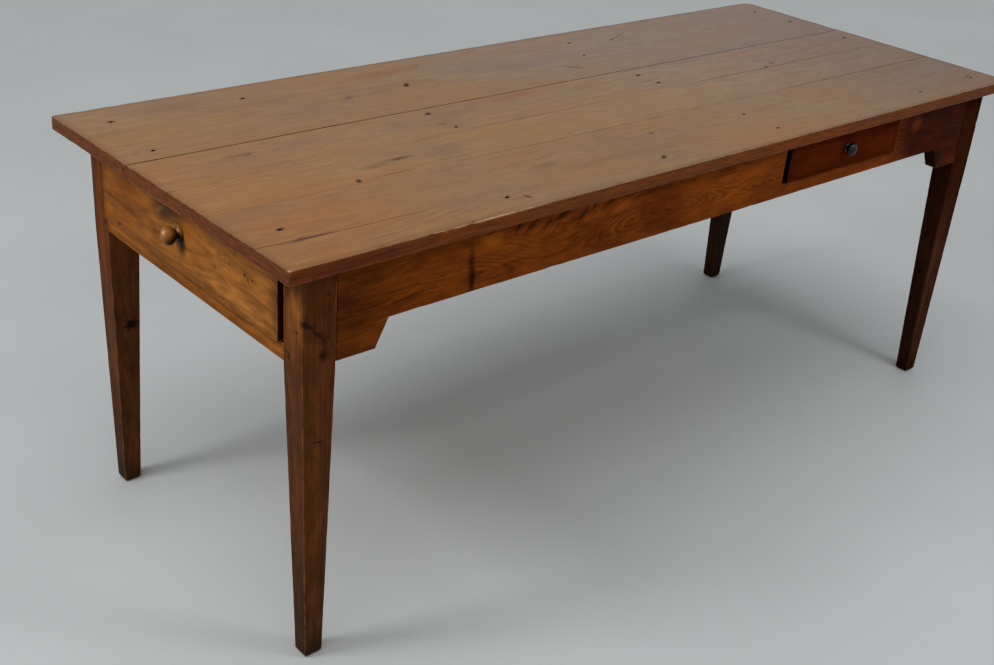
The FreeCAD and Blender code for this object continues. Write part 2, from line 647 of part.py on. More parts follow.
# Front and back aprons: one board each with bracket ends; the front one is notched for its drawer
apron_top = "apron_depth + spandrel_drop"
apron_low_edge = [
    ("0", "0"),
    ("spandrel_length", "0"),
    ("spandrel_length + spandrel_run", "spandrel_drop"),
    ("apron_length - spandrel_length - spandrel_run", "spandrel_drop"),
    ("apron_length - spandrel_length", "0"),
    ("apron_length", "0"),
    ("apron_length", apron_top),
]
drawer_notch = [
    ("notch_right - shoulder_left", apron_top),
    ("notch_right - shoulder_left", "notch_bottom - spandrel_bottom"),
    ("notch_left - shoulder_left", "notch_bottom - spandrel_bottom"),
    ("notch_left - shoulder_left", apron_top),
]
aprons = (
    ("front_apron", "front_face", apron_low_edge + drawer_notch + [("0", apron_top)]),
    ("back_apron", "back_inner", apron_low_edge + [("0", apron_top)]),
)
for label, y, outline in aprons:
    body = new_body(label + "_body", "shoulder_left", y, "spandrel_bottom")
    pad(body, label + "_pad", "XZ_Plane", outline, "apron_thickness", reverse=True)
    whole = fuse(label + "_whole", [body] + tenon_blocks(label))
    node(cut(whole, housing_cutters, peg_holes, nail_holes, runner_nail_holes), label)

# Right end apron, rail under the end drawer and tie over it
between_legs = ("shoulder_front", "shoulder_back")
end_rails = (
    ("right_end_apron", ("right_inner", "right_face"), ("right_apron_bottom", "under_z")),
    ("end_drawer_rail", ("end_rail_face", "end_rail_inner"), ("end_rail_bottom", "end_rail_top")),
    ("end_tie_rail", ("tie_low", "tie_high"), tie_z),
)
for label, x, z in end_rails:
    rail = block(label + "_rail", x, between_legs, z)
    whole = fuse(label + "_whole", [rail] + tenon_blocks(label))
    node(cut(whole, peg_holes, nail_holes), label)

# Drawer nails: up the sides as shares of their height, across the bottom as shares of its width
front_pin_shares = (0.3, 0.55, 0.8)
back_pin_shares = (0.35, 0.8)
panel_pin_shares = (0.15, 0.5, 0.85)


def drawer_spot(axis, depth, width, height):
    # Depth runs from the drawer's face inwards: along X for the end drawer, along Y for the front one
    return (depth, width, height) if axis == "x" else (width, depth, height)


def drawer(kind, axis, face, inner, side_cutters, knob_hole):
    # Front rebated for the sides, bottom panel in grooves, back standing on the panel
    outer_low = f"{kind}_low + {kind}_side_inset"
    outer_high = f"{kind}_high - {kind}_side_inset"
    inner_low = f"{outer_low} + {kind}_side_thickness"
    inner_high = f"{outer_high} - {kind}_side_thickness"
    side_low = (outer_low, inner_low)
    side_high = (inner_high, outer_high)
    side_z = (f"{kind}_side_bottom", f"{kind}_side_top")
    rebate_start = f"{face} + {kind}_lap"
    tail = f"{kind}_tail"
    back_end = f"{tail} - {kind}_back_inset"
    back_start = f"{back_end} - {kind}_back_thickness"
    panel_low = f"{kind}_side_bottom + {kind}_panel_lift"
    panel_high = f"{panel_low} + {kind}_panel_thickness"
    slot_width = (f"{inner_low} - panel_groove", f"{inner_high} + panel_groove")
    panel_width = (f"{slot_width[0]} + joint_clearance", f"{slot_width[1]} - joint_clearance")
    panel_depth = (f"{inner} - panel_groove + joint_clearance", tail)

    def piece(name, depth, width, height):
        return block(f"{kind}_{name}", *drawer_spot(axis, depth, width, height))

    ways = {"x": ("back", "front"), "y": ("right", "left")}[axis]
    front_line = f"({rebate_start} + {inner}) / 2"
    back_line = f"({back_start} + {back_end}) / 2"
    pins = []
    for width, way in zip((outer_low, outer_high), ways):
        for depth, shares in ((front_line, front_pin_shares), (back_line, back_pin_shares)):
            for share in shares:
                height = f"{side_z[0]} + {share} * ({side_z[1]} - {side_z[0]})"
                pins.append(("pin_length", drawer_spot(axis, depth, width, height), way))
    for share in panel_pin_shares:
        width = f"{inner_low} + {share} * ({inner_high} - ({inner_low}))"
        pins.append(("panel_pin_length", drawer_spot(axis, back_line, width, panel_low), "up"))
    nails, holes = pin_set(f"{kind}_nails", "pin_radius", pins)
    node(nails, f"{kind}_drawer_nails")

    slot_depth = (f"{inner} - panel_groove", f"{tail} + cut_overrun")
    slot_z = grown((panel_low, panel_high), "joint_clearance")
    slot = piece("panel_slot", slot_depth, slot_width, slot_z)
    rebate_depth = (f"{rebate_start} - joint_clearance", f"{inner} + cut_overrun")
    rebate_z = grown(side_z, "joint_clearance")
    rebates = group(f"{kind}_rebates", [
        piece("rebate_low", rebate_depth, grown(side_low, "joint_clearance"), rebate_z),
        piece("rebate_high", rebate_depth, grown(side_high, "joint_clearance"), rebate_z),
    ])
    front_width = (f"{kind}_low", f"{kind}_high")
    front = piece("front_board", (face, inner), front_width, (f"{kind}_bottom", f"{kind}_top"))
    node(cut(front, rebates, slot, knob_hole, holes), f"{kind}_drawer_front")

    names = {"x": ("front", "back"), "y": ("left", "right")}[axis]
    for name, width in zip(names, (side_low, side_high)):
        side = piece(f"side_{name}", (rebate_start, tail), width, side_z)
        node(cut(side, slot, *side_cutters, holes), f"{kind}_drawer_side_{name}")
    back = piece("back", (back_start, back_end), (inner_low, inner_high), (panel_high, f"{kind}_side_top"))
    node(cut(back, holes), f"{kind}_drawer_back")
    panel = piece("panel", panel_depth, panel_width, (panel_low, panel_high))
    node(cut(panel, holes), f"{kind}_drawer_bottom")


dowel_end = ("end_face + end_dowel_length + peg_clearance", "end_knob_y", "end_knob_z")
dowel_hole_length = "end_dowel_length + peg_clearance + cut_overrun"
dowel_hole = rod("DowelHole", "end_dowel_radius + peg_clearance", dowel_hole_length, dowel_end, "left")
screw_end = ("front_knob_x", "front_drawer_inner + front_nut_height + cut_overrun", "front_knob_z")
screw_hole_length = "front_front_thickness + front_nut_height + 2 * cut_overrun"
screw_hole = rod("ScrewHole", "front_screw_radius + peg_clearance", screw_hole_length, screw_end, "front")
drawer("end", "x", "end_face", "end_inner", [runner_grooves], dowel_hole)
drawer("front", "y", "front_drawer_face", "front_drawer_inner", [], screw_hole)


def knob_stack(kind, middle, way, turnings):
    # Rods, cones and the head stacked outwards from the drawer's face
    axis = {"left": 0, "front": 1}[way]
    pieces = []
    for name, make, sizes, out in turnings:
        start = list(middle)
        start[axis] = f"{middle[axis]} - ({out})"
        pieces.append(make(f"{kind}_{name}", *sizes, start, way))
    return fuse(kind, pieces)


# Turned wooden knob of the end drawer, with its dowel
end_knob = knob_stack("EndKnob", ("end_face", "end_knob_y", "end_knob_z"), "left", (
    ("dowel", rod, ("end_dowel_radius", "end_dowel_length + end_flange_height"), "-end_dowel_length"),
    ("flange", rod, ("end_flange_radius", "end_flange_height"), "0"),
    ("cove", cone, ("end_cove_radius", "end_neck_radius", "end_cove_height"), "end_flange_height"),
    ("neck", rod, ("end_neck_radius", "end_head_place"), "0"),
    ("head", ball, ("end_head_radius", "end_head_half"), "end_head_place"),
))
node(end_knob, "end_drawer_knob")

# Dark knob of the front drawer, with its screw and the nut inside
screw_length = "front_front_thickness + front_screw_tail"
front_knob = knob_stack("FrontKnob", ("front_knob_x", "front_drawer_face", "front_knob_z"), "front", (
    ("screw", rod, ("front_screw_radius", f"{screw_length} + front_flange_height"), f"-({screw_length})"),
    ("flange", rod, ("front_flange_radius", "front_flange_height"), "0"),
    ("neck", rod, ("front_neck_radius", "front_head_place"), "0"),
    ("head", ball, ("front_head_radius", "front_head_half"), "front_head_place"),
))
node(front_knob, "front_drawer_knob")
nut = doc.addObject("Part::Prism", "Nut")
nut.Polygon = 6
bind(nut, "Circumradius", "front_nut_radius")
bind(nut, "Height", "front_nut_height")
nut.Placement.Rotation = turns["front"]
place(nut, "front_knob_x", "front_drawer_inner + front_nut_height", "front_knob_z")
node(cut(nut, screw_hole), "front_knob_nut")

doc.recompute()

# Nothing is written unless every object computed and every piece is sound
for item in doc.Objects:
    if "Invalid" in item.State or "Error" in item.State:
        raise RuntimeError(f"{item.Label} failed: {item.State}")
for piece in nodes:
    if piece.Shape.isNull() or not piece.Shape.isValid() or not piece.Shape.Solids:
        raise RuntimeError(f"{piece.Label} has no sound solid")

os.makedirs("parts", exist_ok=True)
for piece in nodes:
    piece.Shape.exportStep(f"parts/{piece.Label}.step")
    reach = piece.Shape.BoundBox
    low = [round(edge, 1) for edge in (reach.XMin, reach.YMin, reach.ZMin)]
    high = [round(edge, 1) for edge in (reach.XMax, reach.YMax, reach.ZMax)]
    print(piece.Label, len(piece.Shape.Solids), "solids from", low, "to", high)
print(len(nodes), "nodes")
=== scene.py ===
import math

import bmesh
import bpy
from mathutils import Matrix, Vector, noise


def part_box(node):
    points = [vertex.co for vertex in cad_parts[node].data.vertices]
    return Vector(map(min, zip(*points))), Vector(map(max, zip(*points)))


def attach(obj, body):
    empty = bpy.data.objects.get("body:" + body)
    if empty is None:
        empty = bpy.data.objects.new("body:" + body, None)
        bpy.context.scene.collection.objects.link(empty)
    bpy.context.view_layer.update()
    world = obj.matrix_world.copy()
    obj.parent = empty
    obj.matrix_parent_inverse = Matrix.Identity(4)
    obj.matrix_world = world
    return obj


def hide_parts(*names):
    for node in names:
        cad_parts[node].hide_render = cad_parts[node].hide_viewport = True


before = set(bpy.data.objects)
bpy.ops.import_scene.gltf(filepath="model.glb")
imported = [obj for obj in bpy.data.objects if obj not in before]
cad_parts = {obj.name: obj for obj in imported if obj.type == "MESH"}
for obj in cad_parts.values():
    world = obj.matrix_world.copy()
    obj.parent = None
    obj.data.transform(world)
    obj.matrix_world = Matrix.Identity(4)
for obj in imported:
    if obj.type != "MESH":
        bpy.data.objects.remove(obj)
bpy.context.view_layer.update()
scene = bpy.context.scene
scene.view_settings.view_transform = "Standard"
print("loaded the table:", len(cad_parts), "pieces")


def tone(red, green, blue):
    # sRGB 0-255 to the linear colour that sockets take
    shares = [value / 255 for value in (red, green, blue)]
    return tuple(s / 12.92 if s <= 0.04045 else ((s + 0.055) / 1.055) ** 2.4 for s in shares) + (1.0,)


# Node helpers

def put(tree, kind, values=None, **settings):
    # a new node: sockets among its values are linked, the rest are set
    node = tree.nodes.new(kind)
    for key, value in settings.items():
        setattr(node, key, value)
    for key, value in (values or {}).items():
        if isinstance(value, bpy.types.NodeSocket):
            tree.links.new(value, node.inputs[key])
        else:
            node.inputs[key].default_value = value
    return node


def effect(tree, group, values):
    return put(tree, "ShaderNodeGroup", values, node_tree=group).outputs


def vectorMath(tree, operation, first, second=None, scale=None):
    values = {0: first, 1: second, "Scale": scale}
    values = {key: value for key, value in values.items() if value is not None}
    outputs = put(tree, "ShaderNodeVectorMath", values, operation=operation).outputs
    return outputs["Value" if operation == "LENGTH" else "Vector"]


def sums(tree, operation, first, second=0.0, clamp=False):
    node = put(tree, "ShaderNodeMath", {0: first, 1: second}, operation=operation, use_clamp=clamp)
    return node.outputs[0]


def times(tree, first, second):
    return sums(tree, "MULTIPLY", first, second)


def ramp(tree, value, start, stop, low=0.0, high=1.0):
    names = {"Value": value, "From Min": start, "From Max": stop, "To Min": low, "To Max": high}
    return put(tree, "ShaderNodeMapRange", names, interpolation_type="SMOOTHSTEP").outputs["Result"]


def blend(tree, share, first, second, kind="MIX"):
    values = {0: share, 6: first, 7: second}
    return put(tree, "ShaderNodeMix", values, data_type="RGBA", blend_type=kind).outputs[2]


def tinted(tree, first, second):
    return blend(tree, 1.0, first, second, "MULTIPLY")


def noiseAt(tree, place, detail, roughness, seed):
    values = {"Vector": place, "W": seed, "Scale": 1.0, "Detail": detail, "Roughness": roughness}
    return put(tree, "ShaderNodeTexNoise", values, noise_dimensions="4D").outputs


def cloud(tree, vector, stretch, detail, roughness, seed):
    return noiseAt(tree, vectorMath(tree, "MULTIPLY", vector, stretch), detail, roughness, seed)


def drift(tree, vector, stretch, detail, roughness, seed, reach):
    # a push to and fro, by up to half of reach
    push = cloud(tree, vector, stretch, detail, roughness, seed)["Color"]
    return vectorMath(tree, "SCALE", vectorMath(tree, "SUBTRACT", push, (0.5, 0.5, 0.5)), scale=reach)


def newGroup(name, takes, gives):
    tree = bpy.data.node_groups.new(name, "ShaderNodeTree")
    kinds = {"f": "NodeSocketFloat", "v": "NodeSocketVector", "c": "NodeSocketColor"}
    for way, sockets in (("INPUT", takes), ("OUTPUT", gives)):
        for label, kind in sockets:
            tree.interface.new_socket(name=label, in_out=way, socket_type=kinds[kind])
    given = tree.nodes.new("NodeGroupInput").outputs
    out = tree.nodes.new("NodeGroupOutput").inputs
    return tree, given, out


def newMaterial(name):
    material = bpy.data.materials.new(name)
    material.use_nodes = True
    tree = material.node_tree
    tree.nodes.clear()
    return material, tree, tree.nodes.new("ShaderNodeTexCoord").outputs["Object"]


def shown(tree, shader, kind="ShaderNodeOutputMaterial"):
    tree.links.new(shader.outputs[0], put(tree, kind).inputs[0])


# Effects shared by the woods

def ringFigureGroup():
    # years of growth about a wandering heart line, counted outwards
    takes = [("Vector", "v"), ("Ring Width", "f"), ("Wander", "f"), ("Seed", "f")]
    tree, given, out = newGroup("ringFigure", takes, [("Field", "f"), ("Vector", "v")])
    place, seed = given["Vector"], given["Seed"]
    broad = drift(tree, place, (1.5, 6.0, 6.0), 1.5, 0.45, seed, given["Wander"])
    fine = drift(tree, place, (9.0, 34.0, 34.0), 2.0, 0.5, seed, times(tree, given["Wander"], 0.13))
    moved = vectorMath(tree, "ADD", vectorMath(tree, "ADD", place, broad), fine)
    reach = vectorMath(tree, "LENGTH", vectorMath(tree, "MULTIPLY", moved, (0.0, 1.0, 1.0)))
    tree.links.new(sums(tree, "DIVIDE", reach, given["Ring Width"]), out["Field"])
    tree.links.new(moved, out["Vector"])
    return tree


def knotSwirlGroup():
    # a knot lifts the ring count round it, so that the lines flow past
    takes = [("Vector", "v"), ("Field", "f"), ("Dark", "f"), ("Centre", "v"), ("Reach", "v"), ("Lift", "f"),
             ("Heart", "f")]
    tree, given, out = newGroup("knotSwirl", takes, [("Field", "f"), ("Dark", "f")])
    gap = vectorMath(tree, "SUBTRACT", given["Vector"], given["Centre"])
    away = vectorMath(tree, "LENGTH", vectorMath(tree, "DIVIDE", gap, given["Reach"]))
    swell = times(tree, ramp(tree, away, 1.0, 0.0), given["Lift"])
    tree.links.new(sums(tree, "ADD", given["Field"], swell), out["Field"])
    heart = times(tree, ramp(tree, away, 0.3, 0.1), given["Heart"])
    tree.links.new(sums(tree, "MAXIMUM", given["Dark"], heart), out["Dark"])
    return tree


def woodToneGroup():
    # early and late wood of each ring, with fibres and open pores along it
    takes = [("Vector", "v"), ("Field", "f"), ("Dark", "f"), ("Early", "c"), ("Late", "c"), ("Line", "f"),
             ("Fibre", "f"), ("Streak", "f"), ("Pore", "f"), ("Mottle", "f"), ("Seed", "f")]
    tree, given, out = newGroup("woodTone", takes, [("Color", "c"), ("Height", "f")])

    def grain(stretch, detail, roughness):
        return cloud(tree, given["Vector"], stretch, detail, roughness, given["Seed"])["Fac"]

    turn = sums(tree, "FRACT", given["Field"])
    count = sums(tree, "FLOOR", given["Field"])
    year = put(tree, "ShaderNodeTexWhiteNoise", {"W": count}, noise_dimensions="1D").outputs["Value"]
    late = times(tree, ramp(tree, turn, 0.1, 0.88), ramp(tree, turn, 1.0, 0.9))
    late = times(tree, late, ramp(tree, year, 0.0, 1.0, 0.3, 1.0))
    strands = sums(tree, "SUBTRACT", grain((7.0, 330.0, 330.0), 3.0, 0.6), 0.5)
    bands = sums(tree, "SUBTRACT", grain((5.0, 105.0, 105.0), 5.0, 0.62), 0.5)
    pits = times(tree, ramp(tree, grain((48.0, 900.0, 900.0), 1.0, 0.5), 0.6, 0.74), given["Pore"])
    share = times(tree, late, given["Line"])
    share = sums(tree, "ADD", share, times(tree, strands, given["Fibre"]))
    share = sums(tree, "ADD", share, times(tree, bands, given["Streak"]))
    share = sums(tree, "MAXIMUM", share, given["Dark"], clamp=True)
    colour = blend(tree, share, given["Early"], given["Late"])
    freckle = sums(tree, "SUBTRACT", grain((20.0, 75.0, 75.0), 4.0, 0.62), 0.5)
    freckle = times(tree, freckle, times(tree, given["Mottle"], 5.0))
    colour = tinted(tree, colour, sums(tree, "MAXIMUM", sums(tree, "ADD", freckle, 1.0), 0.2))
    deep = tinted(tree, colour, (0.3, 0.24, 0.2, 1.0))
    heart = sums(tree, "MAXIMUM", pits, times(tree, given["Dark"], 0.8))
    tree.links.new(blend(tree, heart, colour, deep), out["Color"])
    level = sums(tree, "SUBTRACT", sums(tree, "ADD", times(tree, late, 0.5), strands), pits)
    tree.links.new(level, out["Height"])
    return tree


def blotchGroup():
    # uneven colour from handling, wax and light
    takes = [("Vector", "v"), ("Color", "c"), ("Warm", "c"), ("Cool", "c"), ("Amount", "f"), ("Seed", "f")]
    tree, given, out = newGroup("blotch", takes, [("Color", "c"), ("Patch", "f")])
    patch = noiseAt(tree, given["Vector"], 4.0, 0.55, given["Seed"])["Fac"]
    warm = times(tree, ramp(tree, patch, 0.48, 0.72), given["Amount"])
    cool = times(tree, ramp(tree, patch, 0.5, 0.28), given["Amount"])
    warmed = blend(tree, warm, given["Color"], given["Warm"])
    tree.links.new(blend(tree, cool, warmed, given["Cool"]), out["Color"])
    tree.links.new(patch, out["Patch"])
    return tree


def stainSpotGroup():
    # one mark of its own colour: a stain, a bruise, a scratch or a patch of lighter wood
    takes = [("Vector", "v"), ("Color", "c"), ("Height", "f"), ("Centre", "v"), ("Half Size", "v"),
             ("Axis", "v"), ("Turn", "f"), ("Core", "f"), ("Stain", "c"), ("Amount", "f"), ("Sink", "f")]
    tree, given, out = newGroup("stainSpot", takes, [("Color", "c"), ("Height", "f")])
    values = {
        "Vector": given["Vector"], "Center": given["Centre"], "Axis": given["Axis"], "Angle": given["Turn"],
    }
    turned = put(tree, "ShaderNodeVectorRotate", values, rotation_type="AXIS_ANGLE").outputs[0]
    gap = vectorMath(tree, "SUBTRACT", turned, given["Centre"])
    away = vectorMath(tree, "LENGTH", vectorMath(tree, "DIVIDE", gap, given["Half Size"]))
    mask = ramp(tree, away, 1.0, given["Core"])
    share = times(tree, mask, given["Amount"])
    tree.links.new(blend(tree, share, given["Color"], given["Stain"]), out["Color"])
    sunk = sums(tree, "SUBTRACT", given["Height"], times(tree, mask, given["Sink"]))
    tree.links.new(sunk, out["Height"])
    return tree


def arrisGroup():
    # how near a point of the surface is to an edge of its piece, broken up by noise
    takes = [("Vector", "v"), ("Low", "v"), ("High", "v"), ("Width", "f"), ("Seed", "f")]
    tree, given, out = newGroup("arris", takes, [("Edge", "f"), ("Near", "f")])
    inner = vectorMath(
        tree, "MINIMUM", vectorMath(tree, "SUBTRACT", given["Vector"], given["Low"]),
        vectorMath(tree, "SUBTRACT", given["High"], given["Vector"]))
    part = put(tree, "ShaderNodeSeparateXYZ", {0: inner}).outputs
    least = sums(tree, "MINIMUM", part[0], part[1])
    most = sums(tree, "MAXIMUM", part[0], part[1])
    second = sums(tree, "MAXIMUM", least, sums(tree, "MINIMUM", most, part[2]))
    rub = cloud(tree, given["Vector"], (28.0, 28.0, 28.0), 4.0, 0.65, given["Seed"])["Fac"]
    width = times(tree, given["Width"], ramp(tree, rub, 0.3, 0.75, 0.15, 1.8))
    tree.links.new(ramp(tree, second, width, 0.0), out["Edge"])
    tree.links.new(ramp(tree, second, times(tree, given["Width"], 9.0), 0.0), out["Near"])
    return tree


ringFigure = ringFigureGroup()
knotSwirl = knotSwirlGroup()
woodTone = woodToneGroup()
blotch = blotchGroup()
stainSpot = stainSpotGroup()
arris = arrisGroup()

grainTurns = {"x": (0.0, 0.0, 0.0), "y": (0.0, 0.0, -math.pi / 2), "z": (0.0, math.pi / 2, 0.0)}
faceAxes = {"x": (1.0, 0.0, 0.0), "y": (0.0, 1.0, 0.0), "z": (0.0, 0.0, 1.0)}

plainWood = {
    "grain": "x", "pith": (0.0, 0.0, 0.06), "tilt": (0.0, 0.0, 0.0), "ringWidth": 0.006, "wander": 0.04,
    "seed": 1.0, "early": (150, 100, 60), "late": (105, 62, 32), "line": 0.55, "fibre": 0.5, "streak": 0.8,
    "pore": 0.35, "mottle": 0.2, "warm": (165, 98, 50), "cool": (110, 82, 62), "patch": 0.3,
    "patchScale": (2.0, 5.0, 5.0), "wear": (176, 130, 88), "wearAmount": 0.5, "wearWidth": 0.003,
    "grime": (60, 34, 18), "grimeAmount": 0.25, "rough": (0.36, 0.55), "bump": 0.25, "specular": 0.025,
    "sides": [], "gaps": None, "knots": [], "washes": [], "marks": [], "face": "z", "shake": 0.011,
}


def laidSpot(tree, place, colour, height, face, mark):
    centre, half, angle, core, stain, amount, sink = mark
    if not isinstance(stain, bpy.types.NodeSocket):
        stain = tone(*stain)
    values = {"Vector": place, "Color": colour, "Height": height, "Centre": centre, "Half Size": half,
              "Axis": faceAxes[face], "Turn": math.radians(angle), "Core": core, "Stain": stain,
              "Amount": amount, "Sink": sink}
    spot = effect(tree, stainSpot, values)
    return spot["Color"], spot["Height"]


def woodFinish(name, look, low, high, foot=None):
    look = {**plainWood, **look}
    seed = look["seed"]
    material, tree, place = newMaterial(name)
    part = put(tree, "ShaderNodeSeparateXYZ", {0: place}).outputs

    # grain that flows round the knots
    turn = [a + math.radians(b) for a, b in zip(grainTurns[look["grain"]], look["tilt"])]
    along = put(tree, "ShaderNodeMapping", {"Vector": place, "Location": look["pith"], "Rotation": turn})
    values = {
        "Vector": along.outputs[0], "Ring Width": look["ringWidth"], "Wander": look["wander"], "Seed": seed,
    }
    figure = effect(tree, ringFigure, values)
    field, dark = figure["Field"], 0.0
    shiver = drift(tree, place, (60.0, 60.0, 60.0), 5.0, 0.7, seed, look["shake"])
    shaken = vectorMath(tree, "ADD", place, shiver)
    for centre, reach, lift, heart in look["knots"]:
        values = {"Vector": shaken, "Field": field, "Dark": dark, "Centre": centre, "Reach": reach,
                  "Lift": lift, "Heart": heart}
        knot = effect(tree, knotSwirl, values)
        field, dark = knot["Field"], knot["Dark"]
    values = {"Vector": figure["Vector"], "Field": field, "Dark": dark}
    for label in ("early", "late"):
        values[label.title()] = tone(*look[label])
    for label in ("line", "fibre", "streak", "pore", "mottle", "seed"):
        values[label.title()] = look[label]
    wood = effect(tree, woodTone, values)

    # uneven colour, washes that keep the grain, and marks
    patchPlace = vectorMath(tree, "MULTIPLY", shaken, look["patchScale"])
    values = {"Vector": patchPlace, "Color": wood["Color"], "Warm": tone(*look["warm"]),
              "Cool": tone(*look["cool"]), "Amount": look["patch"], "Seed": seed}
    patches = effect(tree, blotch, values)
    colour, height = patches["Color"], wood["Height"]
    for centre, half, core, tint in look["washes"]:
        washed = tinted(tree, colour, (*tint, 1.0))
        wash = (centre, half, 0, core, washed, 1.0, 0.0)
        colour, height = laidSpot(tree, shaken, colour, height, "z", wash)
    for mark in look["marks"]:
        colour, height = laidSpot(tree, shaken, colour, height, look["face"], mark)

    # past a plane across it, the wood takes a tint
    uneven = cloud(tree, place, (14.0, 46.0, 230.0), 5.0, 0.7, seed)["Fac"]
    faced = colour
    for axis, limit, way, tint, soft, vary in look["sides"]:
        share = ramp(tree, part[axis], limit - soft * way, limit + soft * way)
        patchy = tinted(tree, (*tint, 1.0), ramp(tree, uneven, 0.3, 0.7, 1 - vary, 1 + vary))
        colour = blend(tree, share, colour, tinted(tree, faced, patchy))
    if look["gaps"]:   # dirt in the seams and holes, inside the outline and below the face
        gaps = look["gaps"]
        acrossX = sums(tree, "SUBTRACT", gaps["halfX"], sums(tree, "ABSOLUTE", part["X"]))
        acrossY = sums(tree, "SUBTRACT", gaps["halfY"], sums(tree, "ABSOLUTE", part["Y"]))
        inside = ramp(tree, sums(tree, "MINIMUM", acrossX, acrossY), 0.003, 0.006)
        below = ramp(tree, part["Z"], gaps["face"] - 0.0007, gaps["face"] - 0.0020)
        above = ramp(tree, part["Z"], gaps["under"] + 0.0010, gaps["under"] + 0.0030)
        share = times(tree, inside, times(tree, below, above))
        colour = blend(tree, share, colour, tone(*gaps["tint"]))

    # grime near the edges, and the wear on them
    corners = {"Low": low, "High": high}
    if foot:   # the box narrows from the block down to the foot
        drop = put(tree, "ShaderNodeMapRange", {"Value": part["Z"], "From Min": foot["top"], "From Max": 0.0})
        for label, block in list(corners.items()):
            values = {0: drop.outputs["Result"], 4: block, 5: foot[label]}
            corners[label] = put(tree, "ShaderNodeMix", values, data_type="VECTOR").outputs[1]
    edge = effect(tree, arris, {"Vector": place, "Width": look["wearWidth"], "Seed": seed, **corners})
    dirty = times(tree, edge["Near"], look["grimeAmount"])
    colour = blend(tree, dirty, colour, tone(*look["grime"]))
    rubbed = times(tree, edge["Edge"], look["wearAmount"])
    colour = blend(tree, rubbed, colour, tone(*look["wear"]))
    rough = ramp(tree, patches["Patch"], 0.3, 0.7, *look["rough"])
    bump = put(tree, "ShaderNodeBump", {"Height": height, "Strength": look["bump"], "Distance": 0.0006})
    values = {"Base Color": colour, "Roughness": rough, "Normal": bump.outputs[0],
              "Specular IOR Level": look["specular"]}
    shown(tree, put(tree, "ShaderNodeBsdfPrincipled", values))
    return material


# Mesh helpers

sortLine = Vector((1.0, 0.61803, 0.32471))   # the order in which a mesh lists its corners


def sliced(bm, axis, step, corners=()):
    # extra cuts across the piece, so that its surface can be worn, and one through each inner corner
    normal = Vector((axis == 0, axis == 1, axis == 2))
    values = [v.co[axis] for v in bm.verts]
    low, high = min(values), max(values)
    count = max(1, round((high - low) / step))
    places = [low + (high - low) * index / count for index in range(1, count)]
    places = [p for p in places if all(abs(p - corner) > step / 3 for corner in corners)]
    for place in places + list(corners):
        everything = bm.verts[:] + bm.edges[:] + bm.faces[:]
        bmesh.ops.bisect_plane(bm, geom=everything, plane_co=normal * place, plane_no=normal, dist=0.00002)


def sharpEdges(bm, degrees=50):
    # outer corners only: an inner corner stays as it was cut
    limit = math.radians(degrees)
    return [e for e in bm.edges if len(e.link_faces) == 2 and e.is_convex and e.calc_face_angle(0.0) > limit]


def easedEdges(bm, edges, width, segments=2):
    made = bmesh.ops.bevel(
        bm, geom=edges, offset=width, segments=segments, profile=0.5, affect="EDGES", material=-1,
        clamp_overlap=True)
    return made["verts"]


def wornEdges(bm, verts, depth, scale, seed):
    # edges are knocked back unevenly, and never stand proud
    bm.normal_update()
    shift = Vector((seed, seed * 0.7, seed * 1.3))
    for v in verts:
        if v.is_valid:
            rub = noise.noise(v.co * scale + shift) + 0.5 * noise.noise(v.co * scale * 2.7 + shift)
            v.co -= v.normal * depth * max(0.0, rub) ** 1.5


def handPlaned(bm, depth, seed):
    # the shallow hollows that a plane leaves
    bm.normal_update()
    shift = Vector((seed * 1.7, seed, seed * 0.4))
    for v in bm.verts:
        hollow = noise.noise(Vector((v.co.x * 6, v.co.y * 14, v.co.z * 14)) + shift)
        v.co -= v.normal * depth * (0.5 + 0.5 * hollow)


def weathered(bm, shape, seed):
    # eased edges, knocked back by use, between hand planed faces
    worn = easedEdges(bm, sharpEdges(bm), shape["arris"])
    wornEdges(bm, worn, shape["worn"], shape["wearScale"], seed)
    handPlaned(bm, shape["planed"], seed)


def block(low, high):
    bm = bmesh.new()
    size = Vector(high) - Vector(low)
    middle = (Vector(high) + Vector(low)) / 2
    bmesh.ops.create_cube(bm, size=1.0, matrix=Matrix.Translation(middle) @ Matrix.Diagonal((*size, 1.0)))
    return bm


def outlined(points, axis, low, high):
    # a face drawn from its corners, drawn out to a thickness
    bm = bmesh.new()
    corners = []
    for a, b in points:
        co = [a, b]
        co.insert(axis, low)
        corners.append(bm.verts.new(co))
    face = bm.faces.new(corners)
    drawn = bmesh.ops.extrude_face_region(bm, geom=[face])["geom"]
    shift = Vector((0.0, 0.0, 0.0))
    shift[axis] = high - low
    bmesh.ops.translate(bm, verts=[g for g in drawn if isinstance(g, bmesh.types.BMVert)], vec=shift)
    bmesh.ops.recalc_face_normals(bm, faces=bm.faces)
    return bm


def meshObject(bm, name):
    # corners and faces are listed by place, so that their order doesn't change from run to run
    bm.verts.sort(key=lambda v: v.co.dot(sortLine))
    bm.verts.index_update()
    rings = [[v.index for v in face.verts] for face in bm.faces]
    starts = [ring.index(min(ring)) for ring in rings]
    mesh = bpy.data.meshes.new(name)
    mesh.from_pydata([v.co for v in bm.verts], [], sorted(r[s:] + r[:s] for r, s in zip(rings, starts)))
    bm.free()
    piece = bpy.data.objects.new(name, mesh)
    scene.collection.objects.link(piece)
    return piece


def carved(piece, waste):
    # takes the waste's shapes out of the piece
    cutter = meshObject(waste, "waste")
    cut = piece.modifiers.new("carve", "BOOLEAN")
    cut.operation = "DIFFERENCE"
    cut.solver = "EXACT"
    cut.use_self = True
    cut.object = cutter
    made = bpy.data.meshes.new_from_object(piece.evaluated_get(bpy.context.evaluated_depsgraph_get()))
    piece.modifiers.clear()
    piece.data = made
    bpy.data.objects.remove(cutter)


